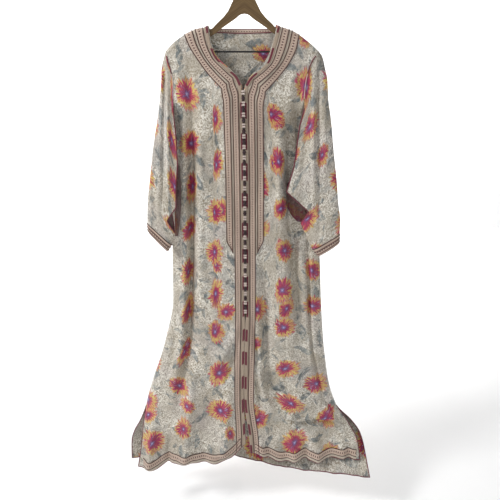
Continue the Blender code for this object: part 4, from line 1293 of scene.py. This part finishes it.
# A line of the trim: its share of the neck trim's width, its distance out down the front, and
# where it turns from the one to the other, as distance out and drop.
TRIM_LINES = {
    "right": {
        "edge": TrimLine(0.00, 0.0030, [(0.0206, 0.131), (0.0085, 0.154)]),
        "edge rim": TrimLine(0.16, 0.0125, [(0.0290, 0.138), (0.0185, 0.160)]),
        "inner": TrimLine(0.23, 0.0145, [(0.0324, 0.137)]),
        "inner rim": TrimLine(0.53, 0.0310, [(0.0437, 0.1475)]),
        "outer": TrimLine(0.67, 0.0380, [(0.0505, 0.1525)]),
        "outer rim": TrimLine(1.00, 0.0555, [(0.0640, 0.1640)]),
    },
    "left": {
        "edge": TrimLine(0.00, 0.0030, [(0.0190, 0.132), (0.0010, 0.156)]),
        "edge rim": TrimLine(0.16, 0.0125, [(0.0245, 0.140), (0.0105, 0.162)]),
        "inner": TrimLine(0.23, 0.0145, [(0.0240, 0.1420)]),
        "inner rim": TrimLine(0.53, 0.0310, [(0.0370, 0.1520)]),
        "outer": TrimLine(0.67, 0.0380, [(0.0430, 0.1600)]),
        "outer rim": TrimLine(1.00, 0.0555, [(0.0580, 0.1730)]),
    },
}
NECK_STATIONS = 4  # stations of the neck trim that the lines keep; the turn follows them
OVER_SHOULDER = 0.0004  # how near the shoulder line the trim's front part ends
SETTLE = 0.045  # drop over which a line comes from its turn to its column
BAND_LIFT, CORD_LIFT = 0.0011, 0.0016  # over the cloth
TAPE_LIFT = BAND_LIFT - 0.0004
CORD_THICK, BAND_THICK = 0.0013, 0.0007
NECK_SAMPLES, DOWN_SAMPLES = 60, 220
LAST_BUTTON = FIRST_BUTTON_DROP + (BUTTONS - 0.5) * BUTTON_PITCH
CLOSER = 0.0028  # how much wider each edge braid is below the last button
OUTER_END = 0.652  # where the outer bands end, in a point
POINT_LENGTH = 0.042


def trim_line(side, name, end=None):
    """Distances out and drops of a line of the trim, from the shoulder round the turn and down
    to its end."""
    line = TRIM_LINES[side][name]
    stations = NECK_TRIM[side][:NECK_STATIONS]
    outs = [s.in_out + line.share * (s.rim_out - s.in_out) for s in stations]
    drops = [s.in_drop + line.share * (s.rim_drop - s.in_drop) for s in stations]
    for turn_out, turn_drop in line.turns:
        outs.append(turn_out)
        drops.append(turn_drop)
    steps = np.linspace(0, 1, 200)
    up_out = outs[0] + steps * (outs[0] - outs[1])
    up_drop = drops[0] + steps * (drops[0] - drops[1])
    over = int(np.argmax(up_drop <= shoulder_drop(side, up_out) + OVER_SHOULDER))
    outs.insert(0, float(up_out[over]))
    drops.insert(0, float(up_drop[over]))
    places = np.linspace(0, len(outs) - 1, NECK_SAMPLES)
    numbers = list(range(len(outs)))
    neck_out, neck_drop = through(numbers, outs, places), through(numbers, drops, places)
    hem = float(front_hem(side, opening_out(side, line.column, FRONT_HEM[side][1].drop)))
    drop = np.linspace(drops[-1], hem if end is None else end, DOWN_SAMPLES)[1:]
    column = np.full(drop.shape, line.column)
    if name == "edge":
        column -= CLOSER * ease_in(drop, LAST_BUTTON, LAST_BUTTON + SETTLE)
    out = opening_out(side, column, drop)
    jump = outs[-1] - opening_out(side, line.column, drops[-1])
    out = out + jump * (1 - ease_in(drop, drops[-1], drops[-1] + SETTLE))
    return np.concatenate([neck_out, out]), np.concatenate([neck_drop, drop])


def on_front(side, out, drop, lift):
    """Points on a front's outside, moved out by the lift."""
    points = front_place(side, out, drop)
    nearby = 0.002
    across = front_place(side, out + nearby, drop) - front_place(side, out - nearby, drop)
    down = front_place(side, out, drop + nearby) - front_place(side, out, drop - nearby)
    normals = unit(np.cross(across, down) * SIGN[side])
    normals = np.where(normals[..., 1:2] > 0.2, -normals, normals)
    return points + normals * lift


def along_lengths(points):
    steps = np.linalg.norm(np.diff(points, axis=0), axis=1)
    return np.concatenate([[0.0], np.cumsum(steps)])


def strip_part(place, first, second, lift, columns=5):
    """A flat band between two lines of distances out and drops; its pattern is 0 to 1 across."""
    shares = np.linspace(0, 1, columns)
    out = first[0][:, None] * (1 - shares) + second[0][:, None] * shares
    drop = first[1][:, None] * (1 - shares) + second[1][:, None] * shares
    points = place(out, drop, lift)
    along = along_lengths(points[:, columns // 2])
    pattern = np.stack(np.broadcast_arrays(shares[None, :], along[:, None]), axis=-1)
    return points, pattern


def narrowed(first, second, length):
    """Brings the second line in to the first over the last stretch, so that the band ends in a
    point."""
    close = ease_in(second[1], second[1][-1] - length, second[1][-1]) * 0.96
    return second[0] * (1 - close) + first[0] * close, second[1]


def make_strip(
    name,
    place,
    outward,
    first,
    second,
    finish,
    stands_for,
    slot="woven_band",
    lift=BAND_LIFT,
    rims=None,
):
    """A band, with a cord along each side when rims are given."""
    points, pattern = strip_part(place, first, second, lift)
    parts = [grid_part(points, pattern, outward)]
    made = piece(name, parts, [finish], stands_for)
    thicken(made, BAND_THICK)
    if rims:
        cords = [
            tube_part(place(line[0], line[1], CORD_LIFT), CORD_THICK) for line in (first, second)
        ]
        piece(f"{name}_cords", cords, [rims])
    return made


def front_strips(side):
    place = partial(on_front, side)
    edge, edge_rim = trim_line(side, "edge"), trim_line(side, "edge rim")
    inner, inner_rim = trim_line(side, "inner"), trim_line(side, "inner rim")
    outer, outer_rim = trim_line(side, "outer", OUTER_END), trim_line(side, "outer rim", OUTER_END)
    outer_rim = narrowed(outer, outer_rim, POINT_LENGTH)
    nodes = [f"neck_edge_{side}", f"front_edge_{side}"]
    make_strip(f"edge_braid_{side}", place, FORWARD, edge, edge_rim, BRAID, nodes, "edge_braid")
    nodes = [f"neck_band_inner_{side}", f"front_band_inner_{side}"]
    make_strip(f"inner_band_{side}", place, FORWARD, inner, inner_rim, BAND, nodes, rims=BROWN_CORD)
    nodes = [f"neck_band_outer_{side}", f"front_band_outer_{side}"]
    make_strip(f"outer_band_{side}", place, FORWARD, outer, outer_rim, BAND, nodes, rims=BROWN_CORD)
    between = trim_line(side, "inner rim", OUTER_END)
    make_strip(f"plain_tape_{side}", place, FORWARD, between, outer, RIBBON, [], lift=TAPE_LIFT)
    make_strip(f"edge_tape_{side}", place, FORWARD, edge_rim, inner, RIBBON, [], lift=TAPE_LIFT)


for worn_side in SIGN:
    front_strips(worn_side)


# ---------------------------------------------------------------- hem, slits, cuffs and armholes
HEM_BAND = (0.036, 0.012)  # heights of the hem band's two sides over the hem
HEM_PLAIN = 0.0015
HEM_PROUD = 0.0006  # how far the hem trim stands over the front's bands
HEM_ENDS = 0.004  # how far the hem trim ends short of the side
HEM_CLEAR = 0.0015  # how far it stays inside the front's outline


def hem_strip(side):
    reach = getattr(FRONT_FLARE[-2], side)
    start = TRIM_LINES[side]["inner"].column + 0.002
    out = np.linspace(start, reach - HEM_ENDS, 150)
    hem = front_hem(side, out)
    out = opening_out(side, out, hem)
    hem = front_hem(side, out)
    lines = [
        (np.minimum(out, read(FRONT_FLARE, "drop", side, hem - up) - HEM_CLEAR), hem - up)
        for up in HEM_BAND
    ]
    name, nodes, lift = f"hem_trim_{side}", [f"hem_band_{side}"], BAND_LIFT + HEM_PROUD
    place = partial(on_front, side)
    make_strip(name, place, FORWARD, *lines, BAND, nodes, lift=lift, rims=BROWN_CORD)
    low = (np.minimum(out, read(FRONT_FLARE, "drop", side, hem) - HEM_CLEAR), hem - HEM_PLAIN)
    make_strip(f"hem_tape_{side}", place, FORWARD, lines[1], low, RIBBON, [], lift=BAND_LIFT)


def back_strip():
    def place(x, drop, lift):
        points = back_points(x, drop)
        normals = away_from_body(points, BACKWARD) if points.ndim == 3 else np.array(BACKWARD)
        return points + normals * lift

    x = np.linspace(-BACK_FLARE[-2].right + HEM_ENDS, BACK_FLARE[-2].left - HEM_ENDS, 260)
    lines = [(x, np.full(x.shape, FLOOR_DROP - up)) for up in HEM_BAND]
    make_strip("hem_trim_back", place, BACKWARD, *lines, BAND, ["hem_band_back"], rims=BROWN_CORD)


def middle_of_wall(points, outward):
    """A grid of cloth, moved in to the middle of its wall."""
    return points - away_from_body(points, outward) * FABRIC / 2


def slit_row(points):
    return int(np.argmax(points[:, -1, 2] < SHOULDER_Z - SLIT_DROP))


def make_edges():
    """Piping round the hems and slits."""
    lines = []
    for side in SIGN:
        points = FRONTS[side][0]
        wall = middle_of_wall(points, FORWARD)
        lines.append(np.concatenate([wall[-1], wall[slit_row(points) :, -1][::-1][1:]]))
    wall, lowest = middle_of_wall(BACK[0], BACKWARD), slit_row(BACK[0])
    lines.append(np.concatenate([wall[lowest:, 0], wall[-1, 1:], wall[lowest:, -1][::-1][1:]]))
    cords = [tube_part(line, EDGE_PIPING) for line in lines]
    piece("hem_piping", cords, [MAROON_CORD])


CUFF_CORDS = (0.0, 0.5, 0.82)  # where the cuff's cords lie, as shares of its band
SLEEVE_PIPED_FROM = 0.05  # share of the sleeve where the piping of its open edges starts
ARMHOLE_PIPED = (0.10, 0.97)  # share of the armhole that is piped
ARMHOLE_LIFT = 0.0014
MAROON_END = 16  # the point of 40 where the armhole's maroon piping ends and the pale begins
THIN_CORD = 0.0009


def sleeve_trim(side):
    points = SLEEVES[side][0]
    facing = sleeve_facing(points)
    normals = away_from_body(points, facing)
    mid_wall = points - normals * FABRIC / 2
    top = int(round(CUFF_BAND_SHARE * (SLEEVE_ROWS - 1)))
    ring = points[top:] + normals[top:] * BAND_LIFT
    rows, columns = ring.shape[:2]
    along = along_lengths(ring[-1])
    pattern = np.stack(
        np.broadcast_arrays(np.linspace(0, 1, rows)[:, None], along[None, :]), axis=-1
    )
    part = grid_part(ring, pattern, facing[top:], 0)
    trim = piece(f"cuff_trim_{side}", [part], [BAND], [f"cuff_band_{side}"])
    thicken(trim, BAND_THICK)
    rows = [top + int(round(share * (SLEEVE_ROWS - 1 - top))) for share in CUFF_CORDS]
    rounds = [(points[row] + normals[row] * CORD_LIFT)[:-1] for row in rows]
    cords = [tube_part(line, CORD_THICK, closed=True) for line in rounds]
    piece(f"cuff_cord_{side}", cords, [BROWN_CORD])
    open_rows = slice(int(SLEEVE_PIPED_FROM * SLEEVE_ROWS), closed_row(side) + 1)
    cords = [tube_part(mid_wall[-1, :-1], EDGE_PIPING, closed=True)]
    cords += [tube_part(mid_wall[open_rows, column], EDGE_PIPING) for column in (0, -1)]
    piece(f"sleeve_piping_{side}", cords, [MAROON_CORD])
    armhole_drop = TIP_DROP + np.linspace(*ARMHOLE_PIPED, 40) * (ARMPIT_DROP - TIP_DROP)
    out = read(BODY_WIDTH, "drop", side, armhole_drop) - 0.0006
    deep = read(BODY_DEPTH, "drop", "armhole", armhole_drop) * roll(side, out, armhole_drop)
    line = spot(side, out, -deep - ARMHOLE_LIFT, armhole_drop)
    cords = [tube_part(line[: MAROON_END + 1], CORD_THICK), tube_part(line[MAROON_END:], THIN_CORD)]
    silks, node = [MAROON_CORD, PALE_CORD], [f"armhole_cord_{side}"]
    piece(f"armhole_piping_{side}", cords, silks, node)


BACK_TRIM_DOWN = ((0.0020, 0.0130, BRAID), (0.0160, 0.0330, BAND), (0.0400, 0.0570, BAND))
BACK_TRIM_ENDS = {"right": 0.0945, "left": 0.0848}
BACK_TRIM_SPREAD = 10.3  # how much each lower line of the back's neck trim reaches further out
BACK_TRIM_NARROWING = 0.35  # share of its height that it loses towards its ends


def back_neck_lines(down):
    x = np.linspace(-BACK_TRIM_ENDS["right"], BACK_TRIM_ENDS["left"], 90)
    end = np.where(x < 0, -x / BACK_TRIM_ENDS["right"], x / BACK_TRIM_ENDS["left"])
    spread = 1 + BACK_TRIM_SPREAD * down * end**3
    out = np.abs(x) * spread
    top = np.where(x < 0, shoulder_drop("right", out), shoulder_drop("left", out)) + 0.004
    drop = np.maximum(BACK_NECK_DROP, top) + down * (1 - BACK_TRIM_NARROWING * end**2)
    return x * spread, drop


def back_neck():
    """The neck trim round the back: outside in three bands, and inside a facing with a cord at
    the edge."""

    def place(x, drop, lift):
        return back_points(x, drop) + np.array([0.0, lift, 0.0])

    nodes = ["back_neck_band"]
    for number, (low, high, finish) in enumerate(BACK_TRIM_DOWN):
        lines = back_neck_lines(low), back_neck_lines(high)
        rims = MAROON_CORD if finish is BRAID else BROWN_CORD
        make_strip(
            f"back_neck_trim_{number + 1}",
            place,
            BACKWARD,
            *lines,
            finish,
            nodes if number == 1 else [],
            rims=rims,
        )
    inside = -FABRIC - 0.0009
    lines = back_neck_lines(0.0015), back_neck_lines(0.0105)
    points, pattern = strip_part(place, *lines, inside)
    facing = piece("back_neck_facing", [grid_part(points, pattern, FORWARD)], [BAND])
    thicken(facing, 0.0004)
    cords = []
    for down, lift in ((0.0002, -FABRIC / 2), (0.0105, inside - 0.0004)):
        x, drop = back_neck_lines(down)
        cords.append(tube_part(place(x, drop, lift), CORD_THICK))
    piece("back_neck_cords", cords, [MAROON_CORD])


ShadeSheetRow = namedtuple("ShadeSheetRow", "drop inner outer")
# A dark sheet of painted shade, laid on the front under each arm where the sleeve is left open.
UNDERARM_SHADE_SHEET = {
    "right": entries(
        ShadeSheetRow, (0.372, 0.2035, 0.2055), (0.395, 0.1925, 0.2070), (0.450, 0.1900, 0.2100),
        (0.500, 0.1920, 0.2120), (0.550, 0.1960, 0.2140), (0.610, 0.2060, 0.2160),
    ),
    "left": entries(
        ShadeSheetRow, (0.425, 0.1520, 0.1560), (0.450, 0.1240, 0.1660), (0.500, 0.1240, 0.1800),
        (0.530, 0.1330, 0.1880), (0.562, 0.1600, 0.1900),
    ),
}


def underarm_shade_sheet(side):
    rows = UNDERARM_SHADE_SHEET[side]
    drop = np.linspace(rows[0].drop, rows[-1].drop, 60)
    lines = [(read(rows, "drop", edge, drop), drop) for edge in ("inner", "outer")]
    points, pattern = strip_part(partial(on_front, side), *lines, 0.0016, 12)
    pattern = np.stack([SIGN[side] * (pattern[..., 0] * 0.05 + 0.1), -points[..., 2]], axis=-1)
    # painted shade: a dark sheet in the darkened sleeve satin, lifted just over the front
    shade_piece = piece(
        f"underarm_shade_sheet_{side}", [grid_part(points, pattern, FORWARD)], [SLEEVE_INSIDE_SHADE]
    )
    thicken(shade_piece, 0.0006)


for worn_side in SIGN:
    hem_strip(worn_side)
    sleeve_trim(worn_side)
    underarm_shade_sheet(worn_side)
back_strip()
make_edges()
back_neck()


# ---------------------------------------------------------------- knotted buttons and loops
BUTTON_HALF = (0.0050, 0.0040, 0.0058)
KNOT_LIFT = 0.0052


def make_button():
    """A knotted silk button: a round with a basket of small pads."""
    bpy.ops.mesh.primitive_uv_sphere_add(segments=12, ring_count=8, radius=1.0, location=(0, 0, 0))
    made = bpy.context.object
    made.name = "button_pattern"
    only(made)
    bpy.ops.object.mode_set(mode="EDIT")
    bpy.ops.mesh.select_all(action="SELECT")
    bpy.ops.mesh.inset(thickness=0.05, depth=0.10, use_individual=True)
    bpy.ops.object.mode_set(mode="OBJECT")
    made.data.transform(Matrix.Diagonal((*BUTTON_HALF, 1.0)))
    rounding = made.modifiers.new("rounding", "SUBSURF")
    rounding.levels = rounding.render_levels = 1
    bpy.ops.object.modifier_apply(modifier="rounding")
    return made


def make_loop():
    """One knot of a loop: three turns of pale cord round a core, side by side."""
    turns = []
    for number in (-1, 0, 1):
        bpy.ops.mesh.primitive_torus_add(
            major_radius=0.0021,
            minor_radius=0.0012,
            major_segments=14,
            minor_segments=8,
            location=(number * 0.0030, 0, 0),
            rotation=(0, math.pi / 2, 0),
        )
        turn = bpy.context.object
        turn.data.transform(turn.matrix_basis)
        turn.matrix_basis = Matrix.Identity(4)
        turns.append(turn)
    bpy.ops.mesh.primitive_uv_sphere_add(segments=12, ring_count=8, radius=0.0027)
    core = bpy.context.object
    core.name = "loop_pattern"
    core.data.transform(Matrix.Diagonal((2.0, 1.0, 0.9, 1.0)))
    only(core)
    for turn in turns:
        turn.select_set(True)
    bpy.ops.object.join()
    return bpy.context.object


def copies(pattern, places, name, finish, stands_for):
    """The pattern's mesh at each place, as one object."""
    parts = []
    for place in places:
        copy = pattern.copy()
        copy.data = pattern.data.copy()
        bpy.context.scene.collection.objects.link(copy)
        copy.data.transform(Matrix.Translation(place))
        parts.append(copy)
    only(parts[0])
    for part in parts[1:]:
        part.select_set(True)
    bpy.ops.object.join()
    made = bpy.context.object
    made.name = name
    made.data.materials.clear()
    made.data.materials.append(finish)
    bpy.ops.object.shade_smooth()
    bpy.data.objects.remove(pattern)
    return ready(made, stands_for)


def at_opening(drop, lift):
    x = float(read(FRONT_OPENING, "drop", "shift", drop))
    return Vector((x, float(front_y("right", 0.003, drop)) - lift, SHOULDER_Z - drop))


button_drops = [FIRST_BUTTON_DROP + number * BUTTON_PITCH for number in range(BUTTONS)]
loop_drops = [drop - BUTTON_PITCH / 2 for drop in button_drops] + [
    button_drops[-1] + BUTTON_PITCH / 2
]
# knotted buttons, coloured near-black as painted shade where the opening between the fronts shows
# dark gaps
copies(
    make_button(),
    [at_opening(drop, KNOT_LIFT) for drop in button_drops],
    "knotted_buttons",
    BUTTON_SILK_AND_GAP_SHADE,
    [f"button_{number + 1:02d}" for number in range(BUTTONS)],
)
copies(
    make_loop(),
    [at_opening(drop + down, 0.0038) for drop in loop_drops for down in (-0.0036, 0.0036)],
    "button_loops",
    PALE_CORD,
    [],
)


# ---------------------------------------------------------------- a row for a panel's cut, and the names of the back's trim
Cut = namedtuple("Cut", "width length area rests_on sewn_on")
BACK_TRIM = [
    "hem_trim_back", "hem_trim_back_cords", "hem_piping", "back_neck_facing", "back_neck_cords"
]
BACK_TRIM += [f"back_neck_trim_{number}{end}" for number in (1, 2, 3) for end in ("", "_cords")]


# ---------------------------------------------------------------- floor, light and camera
FLOOR_Z = -1.78


def make_stage():
    made, shader, place = finish_of("pale floor", 0.9, place_in="Object")
    tone = ramp(stain(place, 2.0), (0.3, 250, 250, 250), (0.7, 254, 254, 254))
    give(shader["Base Color"], tone)
    bpy.ops.mesh.primitive_grid_add(
        x_subdivisions=2, y_subdivisions=2, size=12, location=(0, 0, FLOOR_Z)
    )
    floor = bpy.context.object
    floor.name = "floor"
    bpy.ops.mesh.primitive_grid_add(
        x_subdivisions=2, y_subdivisions=2, size=12, location=(0, 3.2, 2.0), rotation=(
            math.pi / 2, 0, 0
        )
    )
    wall = bpy.context.object
    wall.name = "backdrop"
    for thing in (floor, wall):
        thing.data.materials.append(made)


def make_light(name, power, size, place, aim):
    data = bpy.data.lights.new(name, "AREA")
    data.energy, data.shape, data.size = power, "DISK", size
    lamp = bpy.data.objects.new(name, data)
    bpy.context.scene.collection.objects.link(lamp)
    lamp.location = place
    lamp.rotation_euler = (Vector(aim) - Vector(place)).to_track_quat("-Z", "Y").to_euler()


def make_camera():
    data = bpy.data.cameras.new("camera")
    data.sensor_width = 36.0
    data.lens = 615 * 36.0 / 500
    data.clip_end = 50
    camera = bpy.data.objects.new("camera", data)
    bpy.context.scene.collection.objects.link(camera)
    camera.location = (0.0155, -1.8, SHOULDER_Z)
    camera.rotation_euler = (math.radians(90 - 20), 0, 0)
    bpy.context.scene.camera = camera


make_stage()
make_light("key", 71, 0.9, (-2.5, -1.3, 1.3), (0, 0, -0.8))
make_light("fill", 5, 2.0, (0.9, -2.4, 0.5), (0, 0, -0.8))
make_light("floor light", 44, 2.6, (0.0, 2.0, 1.2), (0, 2.0, FLOOR_Z))
make_light("backdrop light", 44, 2.6, (0.0, 1.6, 0.4), (0, 3.2, -0.4))
make_camera()
world = bpy.data.worlds.new("studio")
bpy.context.scene.world = world
world.use_nodes = True
world.node_tree.nodes["Background"].inputs["Color"].default_value = (1.0, 1.0, 1.0, 1.0)
world.node_tree.nodes["Background"].inputs["Strength"].default_value = 0.39
bpy.context.scene.view_settings.view_transform = "Standard"
